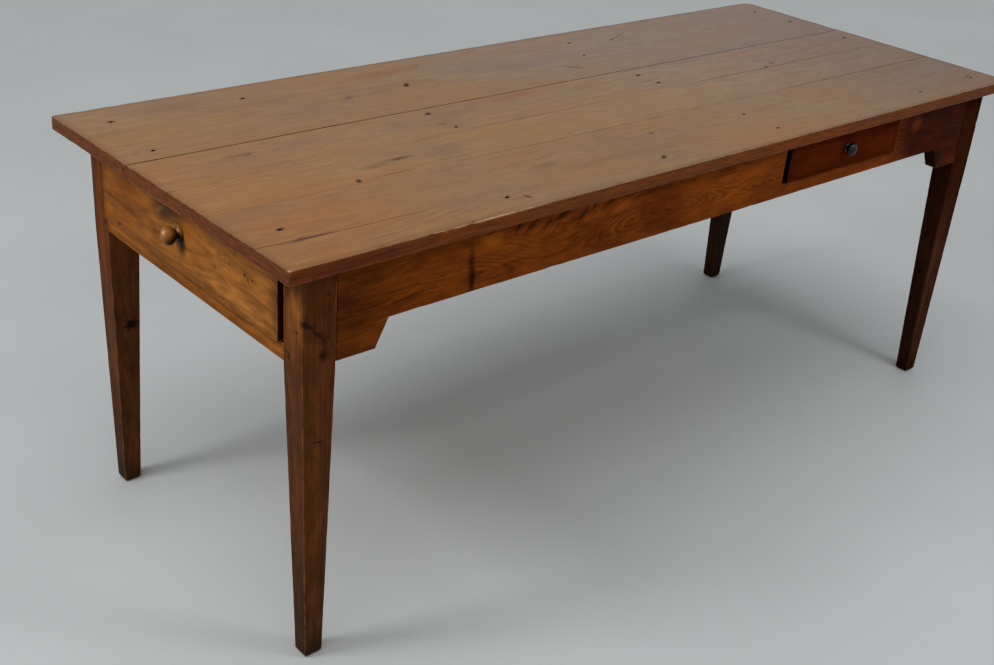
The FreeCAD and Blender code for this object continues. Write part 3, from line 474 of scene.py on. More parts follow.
def settled(piece, body, node, material, sharp=38):
    mesh = piece.data
    mesh.materials.clear()
    mesh.materials.append(material)
    mesh.polygons.foreach_set("material_index", [0] * len(mesh.polygons))
    mesh.polygons.foreach_set("use_smooth", [True] * len(mesh.polygons))
    mesh.set_sharp_from_angle(angle=math.radians(sharp))
    weighted = piece.modifiers.new("flats", "WEIGHTED_NORMAL")
    weighted.keep_sharp = True
    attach(piece, body)
    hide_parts(node)


def turnTo(direction):
    return Vector((0, 0, 1)).rotation_difference(Vector(direction)).to_matrix().to_4x4()


def holeCutter(bm, centre, radius, depth, sides=9, direction=(0, 0, 1)):
    bmesh.ops.create_cone(
        bm, cap_ends=True, segments=sides, radius1=radius * 0.8, radius2=radius * 1.15, depth=depth * 2,
        matrix=Matrix.Translation(centre) @ turnTo(direction))


def slitCutter(bm, centre, length, width, depth, angle):
    # a crack, widest in the middle
    turn = Matrix.Rotation(math.radians(angle), 4, "Z")
    size = Matrix.Diagonal((length, width, depth * 2, 1.0))
    bmesh.ops.create_icosphere(
        bm, subdivisions=2, radius=0.5, matrix=Matrix.Translation(centre) @ turn @ size)


def chipCutter(bm, centre, size, seed):
    made = bmesh.ops.create_icosphere(
        bm, subdivisions=2, radius=0.5, matrix=Matrix.Translation(centre) @ Matrix.Diagonal((*size, 1.0)))
    for v in made["verts"]:
        v.co += (v.co - Vector(centre)) * 0.5 * noise.noise(v.co * 140 + Vector((seed, 0, 0)))


# Top: four boards with tongues, their seams running a little askew

sameSpot = 0.000001   # metres within which two corners are one
topTable = {
    "left": -0.985, "right": 0.985, "front": -0.3925, "back": 0.3925, "under": 0.745, "face": 0.770,
    "tongue": 0.0088, "tongueLow": 0.7535, "tongueHigh": 0.7615, "tonguePlay": 0.0003, "tipPlay": 0.0004,
    "corners": {"frontLeft": 0.003, "frontRight": 0.007, "backLeft": 0.006, "backRight": 0.022},
    "arris": 0.0016, "worn": 0.0017, "wearScale": 38, "lipWorn": 0.0005, "lipWearScale": 30,
    "crown": 0.0004, "crownFrom": 0.766, "slice": 0.014,
    "endBruises": 4, "endBruise": (0.004, 0.012, 0.005), "endHeights": (0.747, 0.769),
    "endFirst": 0.14, "endStep": 0.24, "endSway": 0.05, "endGrowth": 0.003, "endOut": 0.0004,
    "frontBruises": (-0.94, -0.72, -0.645, -0.51, -0.31, -0.02, 0.15, 0.23, 0.34, 0.49, 0.64, 0.79),
    "frontBruise": (0.014, 0.004, 0.005), "frontHeights": (0.747, 0.7675), "frontGrowth": 0.004,
    "frontOut": 0.0005, "seamWander": 0.0006, "seamWaves": 4,
    "frontHoles": (-0.02, 0.145, 0.262, 0.487, 0.635, 0.793),
    "frontHole": {"height": 0.7605, "radius": 0.0017, "depth": 0.003, "sides": 7},
}

# each seam's line across the top, and how far it has opened along its length
seams = {
    "back": {"drawn": 0.10125, "middle": 0.0975, "slope": -0.0060, "arris": 0.0012, "seed": 1.0,
             "gaps": [(-1.0, 0.0024), (0.0, 0.0020), (0.4, 0.0017), (1.0, 0.0012)]},
    "middle": {"drawn": -0.039, "middle": -0.0410, "slope": -0.0048, "arris": 0.0005, "seed": 2.0,
               "gaps": [(-1.0, 0.0003), (-0.42, 0.0002), (-0.3, 0.0007), (0.0, 0.0006), (0.06, 0.0001),
                        (0.22, 0.0002), (0.3, 0.0015), (0.7, 0.0015), (1.0, 0.0008)]},
    "front": {"drawn": -0.165, "middle": -0.1665, "slope": -0.0068, "arris": 0.0005, "seed": 3.0,
              "gaps": [(-1.0, 0.0003), (-0.55, 0.0002), (-0.45, 0.0007), (0.0, 0.0006), (0.08, 0.0002),
                       (0.4, 0.0003), (0.5, 0.0014), (1.0, 0.0016)]},
}

nailHeads = {
    "radius": 0.0036, "sunk": 0.0006, "hole": 0.0042, "holeDepth": 0.0016, "shank": 0.0018, "point": 0.7255,
    "buried": 16, "deep": 0.0026, "height": 0.002, "rim": 0.0012, "dome": 0.0004, "ragged": 0.0005,
    "tip": 0.0006,
    "stain": {"size": 0.0075, "varies": 0.0025, "long": 1.4, "wide": 0.8, "lean": 20, "sway": 15},
    "places": [
        (-0.5198, -0.3375), (-0.1351, -0.3375), (0.7049, -0.3375), (-0.6308, 0.3155), (0.2459, 0.3155),
        (0.2010, -0.3375), (-0.9130, -0.2567), (-0.9130, 0.1429), (-0.3680, -0.0173), (-0.3680, 0.0691),
        (0.2060, -0.2449), (0.2060, -0.0063), (0.2060, 0.0550), (0.2060, 0.2253), (0.9320, 0.0338),
        (0.9320, 0.2041), (-0.9075, -0.3325), (-0.9075, 0.3105), (0.9195, -0.3325), (0.9195, 0.3105),
    ],
}

topWood = {
    "early": (140, 108, 76), "late": (100, 73, 49), "line": 0.28, "fibre": 0.34, "streak": 0.45,
    "pore": 0.3, "warm": (150, 109, 73), "cool": (112, 84, 61), "patch": 0.55,
    "patchScale": (3.4, 10.0, 10.0), "mottle": 0.12, "wear": (164, 120, 80), "wearAmount": 0.5,
    "wearWidth": 0.0022, "grime": (84, 50, 26), "grimeAmount": 0.3, "rough": (0.44, 0.6), "bump": 0.25,
    "specular": 0.13, "face": "z", "ringWidth": 0.0075, "wander": 0.06,
    "sides": [
        ("Z", 0.7684, -1, (0.68, 0.27, 0.012), 0.0009, 0.45),
        ("X", -0.9837, -1, (0.54, 0.25, 0.02), 0.0009, 0.6),
        ("Z", 0.7452, -1, (0.82, 0.70, 0.55), 0.0003, 0.06),
    ],
    "gaps": {"halfX": topTable["right"], "halfY": topTable["back"], "face": topTable["face"],
             "under": topTable["under"], "tint": (24, 13, 8)},
}
ironStain = (58, 35, 26)
wineStain = (84, 52, 54)
greyStain = (100, 78, 64)
faceZ = topTable["face"]


def topMark(x, y, halfX, halfY, angle=0, core=0.2, stain=ironStain, amount=0.8, sink=0.5):
    return ((x, y, faceZ), (halfX, halfY, 0.006), -angle, core, stain, amount, sink)


def topKnot(x, y, reachX, reachY, lift, heart=0.0):
    return ((x, y, faceZ), (reachX, reachY, 0.2), lift, heart)


def topWash(x, y, halfX, halfY, tint):
    return ((x, y, faceZ), (halfX, halfY, 1.0), 0.05, tint)


# the left front is warmer; the back is greyer with painted sheen, and the far end is duller with painted
# shade and painted sheen
topTintsAndPaintedLight = [
    topWash(-0.985, -0.25, 0.55, 0.7, (1.10, 0.89, 0.68)), topWash(0.6, 0.5, 1.2, 1.0, (0.98, 1.18, 1.80)),
    topWash(1.05, -0.25, 0.8, 0.85, (0.75, 0.81, 1.06)),
]

topBoards = {
    "top_board_back": {
        "front": "back", "back": None,
        "slits": [
            ((-0.293, 0.236, faceZ), 0.026, 0.009, 0.0022, 48),
            ((0.118, 0.166, faceZ), 0.07, 0.008, 0.0006, -45),
            ((0.366, 0.294, faceZ), 0.03, 0.005, 0.001, 32),
        ],
        "look": {
            "pith": (0.0, -0.255, -0.70), "tilt": (0.0, 0.5, 0.6), "seed": 2.3, "ringWidth": 0.007,
            "wander": 0.08,
            "knots": [topKnot(-0.245, 0.318, 0.13, 0.035, 3.0), topKnot(0.62, 0.25, 0.2, 0.04, 2.5)],
            "marks": [
                topMark(-0.293, 0.236, 0.018, 0.009, 48, 0.3, (44, 25, 18), 0.95),
                topMark(-0.447, 0.222, 0.03, 0.012, 35, 0.0, wineStain, 0.6),
                topMark(-0.28, 0.325, 0.16, 0.028, 2, 0.0, (128, 78, 60), 0.5, 0.0),
                topMark(-0.945, 0.141, 0.012, 0.006, 10, 0.1, greyStain, 0.7),
                topMark(0.40, 0.308, 0.055, 0.004, 24, 0.2, (84, 60, 48), 0.8),
                topMark(0.365, 0.293, 0.02, 0.006, 24),
                topMark(0.118, 0.166, 0.04, 0.008, -43, 0.2, (86, 68, 58), 0.8),
                topMark(-0.19, 0.335, 0.03, 0.012, 40, 0.0, greyStain, 0.5, 0.0),
                topMark(-0.6, 0.28, 0.3, 0.02, 1, 0.0, (120, 82, 56), 0.4, 0.0),
            ],
        },
    },
    "top_board_back_middle": {
        "front": "middle", "back": "back", "slits": [],
        "look": {
            "pith": (0.0, -0.035, -0.69), "tilt": (0.0, -0.4, -0.7), "seed": 5.1, "ringWidth": 0.006,
            "wander": 0.055, "early": (144, 110, 76), "late": (104, 75, 49),
            "knots": [topKnot(-0.80, 0.05, 0.12, 0.025, 2.5), topKnot(0.19, 0.015, 0.14, 0.025, 2.5)],
            "marks": [
                topMark(-0.80, 0.049, 0.05, 0.007, 2, 0.0, (98, 66, 42), 0.7),
                topMark(-0.785, 0.047, 0.012, 0.006, 20, 0.1, (80, 52, 34), 0.8),
                topMark(-0.382, 0.008, 0.01, 0.012, 10, 0.0, (96, 62, 44), 0.6),
                topMark(0.2, 0.015, 0.07, 0.006, 0, 0.0, (100, 80, 62), 0.6),
                topMark(0.53, -0.04, 0.014, 0.006, 20), topMark(0.567, -0.026, 0.012, 0.006, 30),
                topMark(-0.16, 0.075, 0.18, 0.032, 0, 0.0, (128, 80, 62), 0.5, 0.0),
                topMark(0.02, 0.05, 0.1, 0.02, 4, 0.0, (104, 86, 70), 0.4, 0.0),
            ],
        },
    },
    "top_board_front_middle": {
        "front": "front", "back": "middle", "slits": [],
        "look": {
            "pith": (0.0, 0.11, -0.70), "tilt": (0.0, 0.6, 0.5), "seed": 8.7, "ringWidth": 0.006,
            "wander": 0.055, "early": (144, 111, 76), "late": (106, 77, 50),
            "knots": [
                topKnot(-0.565, -0.099, 0.17, 0.03, 3.5, 0.5), topKnot(0.02, -0.115, 0.18, 0.025, 2.5),
            ],
            "marks": [
                topMark(-0.565, -0.099, 0.03, 0.006, 8, 0.1, (74, 47, 32), 0.75),
                topMark(-0.62, -0.108, 0.05, 0.012, 5, 0.0, (104, 74, 50), 0.6),
                topMark(-0.69, -0.152, 0.012, 0.007, 60, 0.3, (46, 27, 20), 0.95),
                topMark(-0.61, -0.153, 0.07, 0.004, 0, 0.1, (92, 62, 40), 0.7),
                topMark(0.38, -0.075, 0.02, 0.005, 20, 0.0, greyStain, 0.7),
                topMark(-0.05, -0.11, 0.14, 0.012, 3, 0.0, (148, 112, 78), 0.5, 0.0),
            ],
        },
    },
    "top_board_front": {
        "front": None, "back": "front",
        "slits": [
            ((-0.945, -0.3015, faceZ), 0.10, 0.002, 0.004, -4),
            ((-0.875, -0.3065, faceZ), 0.10, 0.0024, 0.004, -3),
            ((-0.80, -0.3095, faceZ), 0.09, 0.0018, 0.003, -1.5),
            ((-0.487, -0.354, faceZ), 0.022, 0.005, 0.0012, -62),
            ((0.917, -0.323, faceZ), 0.045, 0.003, 0.001, 14),
        ],
        "look": {
            "pith": (0.0, 0.27, -0.69), "tilt": (0.0, -0.5, -0.4), "seed": 11.9, "ringWidth": 0.007,
            "wander": 0.08,
            "knots": [topKnot(-0.06, -0.232, 0.16, 0.035, 3.0), topKnot(0.5, -0.27, 0.18, 0.035, 2.5)],
            "marks": [
                topMark(-0.89, -0.306, 0.075, 0.007, 3, 0.0, wineStain, 0.6),
                topMark(-0.905, -0.303, 0.03, 0.009, 12, 0.0, (58, 35, 37), 0.5),
                topMark(-0.72, -0.311, 0.09, 0.003, -1, 0.1, (94, 60, 42), 0.7),
                topMark(-0.487, -0.354, 0.013, 0.006, -62, 0.2, (72, 47, 34), 0.9),
                topMark(-0.055, -0.232, 0.014, 0.01, 30, 0.1, (70, 49, 44), 0.8),
                topMark(-0.05, -0.242, 0.035, 0.014, 20, 0.0, (144, 112, 88), 0.5, 0.0),
                topMark(0.76, -0.311, 0.02, 0.004, 20, 0.0, greyStain, 0.6),
                topMark(0.915, -0.324, 0.032, 0.004, 14, 0.1),
                topMark(-0.2, -0.29, 0.35, 0.02, 1, 0.0, (116, 77, 54), 0.4, 0.0),
                topMark(-0.36, -0.26, 0.05, 0.02, 0, 0.0, (106, 78, 60), 0.45, 0.0),
                topMark(-0.62, -0.3925, 0.17, 0.0028, 0, 0.3, (222, 200, 172), 0.9, 0.0),
                ((-0.9, -0.3925, 0.7575), (0.3, 0.004, 0.012), 0, 0.3, (70, 36, 15), 0.5, 0.0),
                topMark(-0.983, -0.391, 0.008, 0.008, 0, 0.2, (214, 174, 138), 0.8, 0.0),
            ],
        },
    },
}


def seamLine(seam, x, side):
    # the seam's y at x, less or plus half of its opening
    wander = topTable["seamWander"] * noise.noise(Vector((x * topTable["seamWaves"], seam["seed"], 0)))
    gap = seam["gaps"][-1][1]
    for (x0, g0), (x1, g1) in zip(seam["gaps"], seam["gaps"][1:]):
        if x0 <= x <= x1:
            gap = g0 + (g1 - g0) * (x - x0) / (x1 - x0)
    return seam["middle"] + seam["slope"] * x + wander + side * gap / 2


def laidToSeams(bm, frontSeam, backSeam, front, back):
    # a straight board is drawn to its seams, while the table's own edges stay straight
    for v in bm.verts:
        share = min(1.0, max(0.0, (v.co.y - front) / (back - front)))
        shift = 0.0
        if frontSeam:
            shift += (1 - share) * (seamLine(frontSeam, v.co.x, 1) - front)
        if backSeam:
            shift += share * (seamLine(backSeam, v.co.x, -1) - back)
        v.co.y += shift


def nailsBetween(front, back):
    # the nails that show in one board
    nails = [(number, x, y) for number, (x, y) in enumerate(nailHeads["places"])]
    return [nail for nail in nails if front < nail[2] < back and nail[0] != nailHeads["buried"]]


def nailStains(front, back):
    s = nailHeads["stain"]
    stains = []
    for number, x, y in nailsBetween(front, back):
        size = s["size"] + s["varies"] * math.sin(number * 2.3)
        lean = s["lean"] + s["sway"] * math.sin(number)
        stains.append(topMark(x, y, size * s["long"], size * s["wide"], lean, 0.3, ironStain, 0.85, 0.3))
    return stains


def makeTopBoard(name, board):
    t = topTable
    frontSeam, backSeam = seams.get(board["front"]), seams.get(board["back"])
    front = frontSeam["drawn"] if frontSeam else t["front"]
    back = backSeam["drawn"] if backSeam else t["back"]
    seed = board["look"]["seed"]

    # the section, with a tongue at the back and a groove at the front
    points = [(front, t["under"]), (back, t["under"])]
    if backSeam:
        tip = back + t["tongue"]
        high, low = t["tongueHigh"], t["tongueLow"]
        points += [(back, low), (tip, low), (tip, high), (back, high)]
    points += [(back, t["face"]), (front, t["face"])]
    if frontSeam:
        cheek = front + t["tongue"] + t["tipPlay"]
        high, low = t["tongueHigh"] + t["tonguePlay"], t["tongueLow"] - t["tonguePlay"]
        points += [(front, high), (cheek, high), (cheek, low), (front, low)]
    bm = outlined(points, 0, t["left"], t["right"])

    # round corners, then worn edges
    for label, y in (("front", t["front"]), ("back", t["back"])):
        for side in ("Left", "Right"):
            spot = Vector((t[side.lower()], y))
            upright = [e for e in bm.edges if all((v.co.xy - spot).length < sameSpot for v in e.verts)]
            if upright:
                easedEdges(bm, upright, t["corners"][label + side], 6)
    sliced(bm, 0, t["slice"])
    sliced(bm, 1, t["slice"])
    for line, seam in ((front, frontSeam), (back, backSeam)):
        if seam:
            lip = [e for e in sharpEdges(bm)
                   if all(abs(v.co.y - line) < sameSpot and v.co.z > t["face"] - sameSpot for v in e.verts)]
            wornEdges(bm, easedEdges(bm, lip, seam["arris"]), t["lipWorn"], t["lipWearScale"], seed)
    flats = (t["under"], t["face"])
    rims = [e for e in sharpEdges(bm) if all(min(abs(v.co.z - z) for z in flats) < sameSpot for v in e.verts)]
    wornEdges(bm, easedEdges(bm, rims, t["arris"]), t["worn"], t["wearScale"], seed)
    middle, halfWidth = (front + back) / 2, (back - front) / 2
    for v in bm.verts:   # a slight crown across the board
        if v.co.z > t["crownFrom"]:
            dip = noise.noise(Vector((v.co.x * 3, v.co.y * 11, seed)))
            v.co.z -= t["crown"] * (((v.co.y - middle) / halfWidth) ** 2 + 0.4 + 0.4 * dip)
    laidToSeams(bm, frontSeam, backSeam, front, back)
    piece = meshObject(bm, name + "_worn")

    # holes over the nails, cracks, bruises along the left end and the front, and old nail holes there
    waste = bmesh.new()
    for number, x, y in nailsBetween(front, back):
        holeCutter(waste, (x, y, t["face"]), nailHeads["hole"], nailHeads["holeDepth"])
    for slit in board["slits"]:
        slitCutter(waste, *slit)
    for number in range(t["endBruises"]):
        share = t["endFirst"] + t["endStep"] * number + t["endSway"] * math.sin(seed + number * 2.1)
        centre = (t["left"] - t["endOut"], front + (back - front) * share, t["endHeights"][number % 2])
        size = Vector(t["endBruise"]) + Vector((0, t["endGrowth"] * (number % 3), 0))
        chipCutter(waste, centre, size, seed + number)
    if not frontSeam:
        for number, x in enumerate(t["frontBruises"]):
            z = t["frontHeights"][1 if number % 3 else 0]
            size = Vector(t["frontBruise"]) + Vector((t["frontGrowth"] * (number % 4), 0, 0))
            chipCutter(waste, (x, t["front"] - t["frontOut"], z), size, number)
        hole = t["frontHole"]
        for x in t["frontHoles"]:
            centre = (x, t["front"], hole["height"])
            holeCutter(waste, centre, hole["radius"], hole["depth"], hole["sides"], (0, -1, 0))
    carved(piece, waste)

    low = (t["left"], front - (0.2 if frontSeam else 0.0), t["under"])   # seams don't count as edges
    high = (t["right"], back + (0.2 if backSeam else 0.0), t["face"])
    look = {**topWood, "washes": topTintsAndPaintedLight, **board["look"]}
    look["marks"] = look["marks"] + nailStains(front, back)
    settled(piece, "frame", name, woodFinish(name + "_finish", look, low, high))


for name, board in topBoards.items():
    makeTopBoard(name, board)
print("top boards made")


# Metal: rusty nail heads, the dark knob and its nut

def metalFinish(name, base, rust, rustAmount, rough, metallic, scale, specular=0.5, pitting=0.25):
    material, tree, place = newMaterial(name)
    bloom = cloud(tree, place, (scale, scale, scale), 5.0, 0.65, 3.0)["Fac"]
    rusty = times(tree, ramp(tree, bloom, 0.45, 0.65), rustAmount)
    bump = put(tree, "ShaderNodeBump", {"Height": bloom, "Strength": pitting, "Distance": 0.0004})
    values = {"Base Color": blend(tree, rusty, tone(*base), tone(*rust)),
              "Roughness": ramp(tree, bloom, 0.3, 0.7, *rough), "Metallic": metallic,
              "Specular IOR Level": specular, "Normal": bump.outputs[0]}
    shown(tree, put(tree, "ShaderNodeBsdfPrincipled", values))
    return material


nailIron = metalFinish("nail_iron_finish", (26, 17, 12), (50, 29, 18), 0.8, (0.65, 0.9), 0.0, 420.0, 0.0)
blackIron = metalFinish(
    "black_iron_finish", (10, 10, 11), (20, 17, 15), 0.4, (0.07, 0.1), 0.0, 160.0, 0.3, 0.02)
nutSteel = metalFinish("nut_steel_finish", (112, 110, 106), (96, 62, 42), 0.5, (0.35, 0.6), 0.85, 320.0)


def nailHead(bm, x, y, seed, sunk):
    # a forged head, a little domed and out of round, on its shank
    n = nailHeads
    top = faceZ - sunk
    under = top - n["height"]
    made = bmesh.ops.create_cone(
        bm, cap_ends=True, segments=10, radius1=n["shank"], radius2=n["radius"], depth=n["height"],
        matrix=Matrix.Translation((x, y, top - n["height"] / 2)))["verts"]
    crown = [f for v in made for f in v.link_faces if f.normal.z > 0.9][:1]
    bmesh.ops.inset_region(bm, faces=crown, thickness=n["rim"], depth=0.0)
    bmesh.ops.translate(bm, verts=crown[0].verts[:], vec=(0, 0, n["dome"]))
    for v in made:
        v.co.x += n["ragged"] * noise.noise(v.co * 600 + Vector((seed, 0, 0)))
        v.co.y += n["ragged"] * noise.noise(v.co * 600 + Vector((0, seed, 0)))
    bmesh.ops.create_cone(
        bm, cap_ends=True, segments=6, radius1=n["tip"], radius2=n["shank"] * 0.9, depth=under - n["point"],
        matrix=Matrix.Translation((x, y, (under + n["point"]) / 2)))


nailsMesh = bmesh.new()
for number, (x, y) in enumerate(nailHeads["places"]):
    nailHead(nailsMesh, x, y, number * 3.7, nailHeads["deep" if number == nailHeads["buried"] else "sunk"])
settled(meshObject(nailsMesh, "top_nail_heads"), "frame", "top_nails", nailIron)
print("nails driven")


# Legs: a square block above, hand tapered on the inner sides to the foot

legShape = {
    "top": 0.745, "blockBottom": 0.569, "chamfer": 0.004, "arris": 0.0018, "worn": 0.0016, "wearScale": 42,
    "planed": 0.0005, "slice": 0.017, "left": {"block": (-0.939, -0.876), "foot": (-0.928, -0.894)},
    "right": {"block": (0.888, 0.951), "foot": (0.906, 0.940)},
    "front": {"block": (-0.3585, -0.3065), "foot": (-0.3575, -0.3255)},
    "back": {"block": (0.2845, 0.3365), "foot": (0.3035, 0.3355)},
}
legWood = {
    "grain": "z", "early": (98, 56, 25), "late": (60, 32, 13), "line": 0.35, "fibre": 0.7, "streak": 1.5,
    "pore": 0.55, "mottle": 0.42, "warm": (112, 62, 24), "cool": (66, 39, 20), "patch": 0.5,
    "patchScale": (14.0, 14.0, 5.0), "wear": (150, 96, 50), "wearAmount": 0.55, "wearWidth": 0.0032,
    "grime": (36, 20, 10), "grimeAmount": 0.25, "rough": (0.34, 0.52), "bump": 0.3, "ringWidth": 0.0045,
    "wander": 0.03,
}


def footMark(x, y, rise=0.07, amount=0.75):
    return ((x, y, 0.0), (0.05, 0.05, rise), 0, 0.1, (26, 15, 9), amount, 0.0)


def starMark(halfX, halfY, halfZ, angle, core=0.35, stain=(26, 13, 7), amount=0.92):
    # one ray of the star shaped knot in the back left leg
    return ((-0.9, 0.2865, 0.365), (halfX, halfY, halfZ), angle, core, stain, amount, 0.4)


legs = {
    "leg_front_left": {
        "chips": [
            ((-0.9392, -0.3587, 0.655), (0.008, 0.007, 0.018)),
            ((-0.9365, -0.3585, 0.38), (0.005, 0.004, 0.012)),
            ((-0.933, -0.358, 0.21), (0.004, 0.004, 0.010)),
            ((-0.9312, -0.358, 0.13), (0.005, 0.004, 0.012)),
            ((-0.8945, -0.3575, 0.09), (0.006, 0.004, 0.016)),
        ],
        "look": {
            "pith": (0.0, 0.30, -0.86), "seed": 3.1, "face": "y",
            "knots": [((-0.897, -0.358, 0.594), (0.03, 0.05, 0.05), 3.0, 0.4)],
            "marks": [
                ((-0.9, -0.3585, 0.592), (0.014, 0.01, 0.017), 0, 0.1, (26, 13, 8), 0.9, 0.6),
                ((-0.926, -0.3585, 0.649), (0.018, 0.01, 0.007), -22, 0.0, (28, 14, 8), 0.92, 0.5),
                ((-0.911, -0.3585, 0.632), (0.020, 0.01, 0.0065), -48, 0.0, (28, 14, 8), 0.92, 0.5),
                ((-0.899, -0.3585, 0.62), (0.009, 0.01, 0.034), 14, 0.0, (44, 22, 12), 0.8, 0.2),
                ((-0.934, -0.3585, 0.655), (0.01, 0.012, 0.012), 0, 0.1, (36, 18, 10), 0.85, 0.4),
                ((-0.905, -0.3585, 0.436), (0.018, 0.01, 0.003), -14, 0.1, (38, 20, 12), 0.8, 0.6),
                ((-0.939, -0.318, 0.592), (0.02, 0.014, 0.0035), 0, 0.1, (44, 24, 12), 0.85, 0.5),
                ((-0.939, -0.342, 0.638), (0.02, 0.008, 0.005), 0, 0.1, (50, 28, 14), 0.85, 0.5),
                footMark(-0.9115, -0.35),
            ],
            "washes": [
                ((-0.939, -0.335, 0.70), (0.012, 0.05, 0.16), 0.2, (2.2, 2.1, 1.75)),
                ((-0.939, -0.345, 0.68), (0.014, 0.02, 0.07), 0.1, (1.6, 1.7, 1.6)),
                # painted shade under the top: over the top of the front face, and more strongly over the top
                # of the end face
                ((-0.902, -0.3585, 0.69), (0.05, 0.01, 0.1), 0.1, (0.84, 0.72, 0.62)),
                ((-0.939, -0.335, 0.745), (0.012, 0.05, 0.08), 0.2, (0.4, 0.4, 0.5)),
                ((-0.930, -0.34, 0.10), (0.008, 0.03, 0.22), 0.2, (0.6, 0.66, 0.75)),
            ],
        },
    },
    "leg_front_right": {
        "chips": [
            ((0.888, -0.3585, 0.47), (0.005, 0.004, 0.014)),
            ((0.951, -0.3585, 0.66), (0.004, 0.004, 0.012)),
        ],
        "look": {
            # darker wood than the left legs, partly painted shade
            "pith": (0.0, 0.40, 0.86), "seed": 6.4, "face": "y", "early": (50, 23, 12), "late": (29, 13, 7),
            "warm": (56, 27, 13), "cool": (32, 16, 9), "wear": (84, 44, 23), "specular": 0.0,
            "washes": [
                ((0.92, -0.358, 0.4), (0.2, 0.007, 0.9), 0.4, (1.5, 1.25, 1.0)),
                ((0.92, -0.358, 0.15), (0.2, 0.007, 0.4), 0.4, (1.5, 2.1, 3.0)),
                ((0.895, -0.33, 0.2), (0.03, 0.1, 0.4), 0.4, (1.4, 1.6, 1.8)),
            ],
            "marks": [footMark(0.923, -0.35, 0.06, 0.6)],
        },
    },
    "leg_back_left": {
        "chips": [((-0.939, 0.2845, 0.50), (0.004, 0.005, 0.015))],
        "look": {
            "pith": (0.0, -0.36, -0.85), "seed": 9.2, "face": "y",
            "knots": [((-0.899, 0.286, 0.365), (0.03, 0.04, 0.04), 3.0, 0.3)],
            "marks": [
                starMark(0.014, 0.014, 0.013, 0, 0.3, (20, 10, 6), 0.95), starMark(0.029, 0.016, 0.0075, 8),
                starMark(0.025, 0.016, 0.007, 58), starMark(0.025, 0.016, 0.007, -48),
                footMark(-0.911, 0.32),
            ],
            "washes": [
                ((-0.938, 0.31, 0.6), (0.012, 0.04, 0.3), 0.3, (1.3, 1.05, 0.6)),
                ((-0.930, 0.32, 0.08), (0.008, 0.04, 0.22), 0.2, (0.6, 0.52, 0.5)),
            ],
        },
    },
    "leg_back_right": {
        "chips": [((0.888, 0.2845, 0.3), (0.004, 0.005, 0.015))],
        "look": {
            # darker wood than the left legs, partly painted shade
            "pith": (0.0, -0.25, 0.84), "seed": 12.8, "face": "y", "early": (50, 28, 13),
            "late": (30, 16, 7), "warm": (57, 32, 13), "cool": (33, 20, 10), "wear": (84, 51, 26),
            "marks": [footMark(0.923, 0.32)],
        },
    },
}


def makeLeg(name, leg):
    s = legShape
    row, column = name.split("_")[1:]
    low, high = zip(s[column]["block"], s[row]["block"])
    footLow, footHigh = zip(s[column]["foot"], s[row]["foot"])
    seed = leg["look"]["seed"]
    bm = block((*low, s["blockBottom"]), (*high, s["top"]))
    for inset, z in ((0.0, s["chamfer"]), (s["chamfer"], 0.0)):   # the taper, then the chamfered foot
        under = min(bm.faces, key=lambda f: f.calc_center_median().z)
        drawn = bmesh.ops.extrude_face_region(bm, geom=[under])["geom"]
        corners = [g for g in drawn if isinstance(g, bmesh.types.BMVert)]
        middle = sum((v.co for v in corners), Vector()) / len(corners)
        for v in corners:
            for axis in (0, 1):
                far = v.co[axis] > middle[axis]
                v.co[axis] = footHigh[axis] - inset if far else footLow[axis] + inset
            v.co.z = z
        bmesh.ops.delete(bm, geom=[under], context="FACES_ONLY")
    bmesh.ops.recalc_face_normals(bm, faces=bm.faces)
    for axis in (2, 0, 1):
        sliced(bm, axis, s["slice"])
    weathered(bm, s, seed)
    piece = meshObject(bm, name + "_planed")
    waste = bmesh.new()
    for number, (centre, size) in enumerate(leg["chips"]):
        chipCutter(waste, centre, size, number * 2.3)
    carved(piece, waste)
    foot = {"top": s["blockBottom"], "Low": (*footLow, 0.0), "High": (*footHigh, s["top"])}
    look = {**legWood, **leg["look"]}
    finish = woodFinish(name + "_finish", look, (*low, 0.0), (*high, s["top"]), foot)
    settled(piece, "frame", name, finish)


for name, leg in legs.items():
    makeLeg(name, leg)
print("legs made")


# Aprons: one board each side with bracket ends, and the front one notched for its drawer

apronShape = {
    "left": -0.876, "right": 0.888, "into": 0.003, "top": 0.745, "bottom": 0.624, "bracket": 0.574,
    "flat": 0.077, "run": 0.0255, "notchLeft": 0.220, "notchRight": 0.6085, "notchBottom": 0.652,
    "arris": 0.0013, "worn": 0.0012, "wearScale": 36, "planed": 0.0005, "slice": 0.02,
}
apronWood = {
    "early": (130, 64, 18), "late": (76, 33, 9), "line": 0.66, "fibre": 0.6, "streak": 1.2, "pore": 0.4,
    "mottle": 0.4, "warm": (150, 74, 18), "cool": (82, 33, 9), "patch": 0.6,
    "patchScale": (9.0, 14.0, 18.0), "wear": (150, 84, 36), "wearAmount": 0.45, "wearWidth": 0.0026,
    "grime": (48, 21, 8), "grimeAmount": 0.4, "rough": (0.3, 0.48), "bump": 0.3, "specular": 0.01,
    "ringWidth": 0.004, "wander": 0.05, "face": "y",
}


def frontMark(x, z, halfX, halfZ, angle=0, core=0.2, stain=(58, 24, 10), amount=0.8, sink=0.4):
    return ((x, -0.3575, z), (halfX, 0.012, halfZ), angle, core, stain, amount, sink)


def frontWash(x, z, halfX, halfZ, core, tint):
    return ((x, -0.34, z), (halfX, 0.1, halfZ), core, tint)


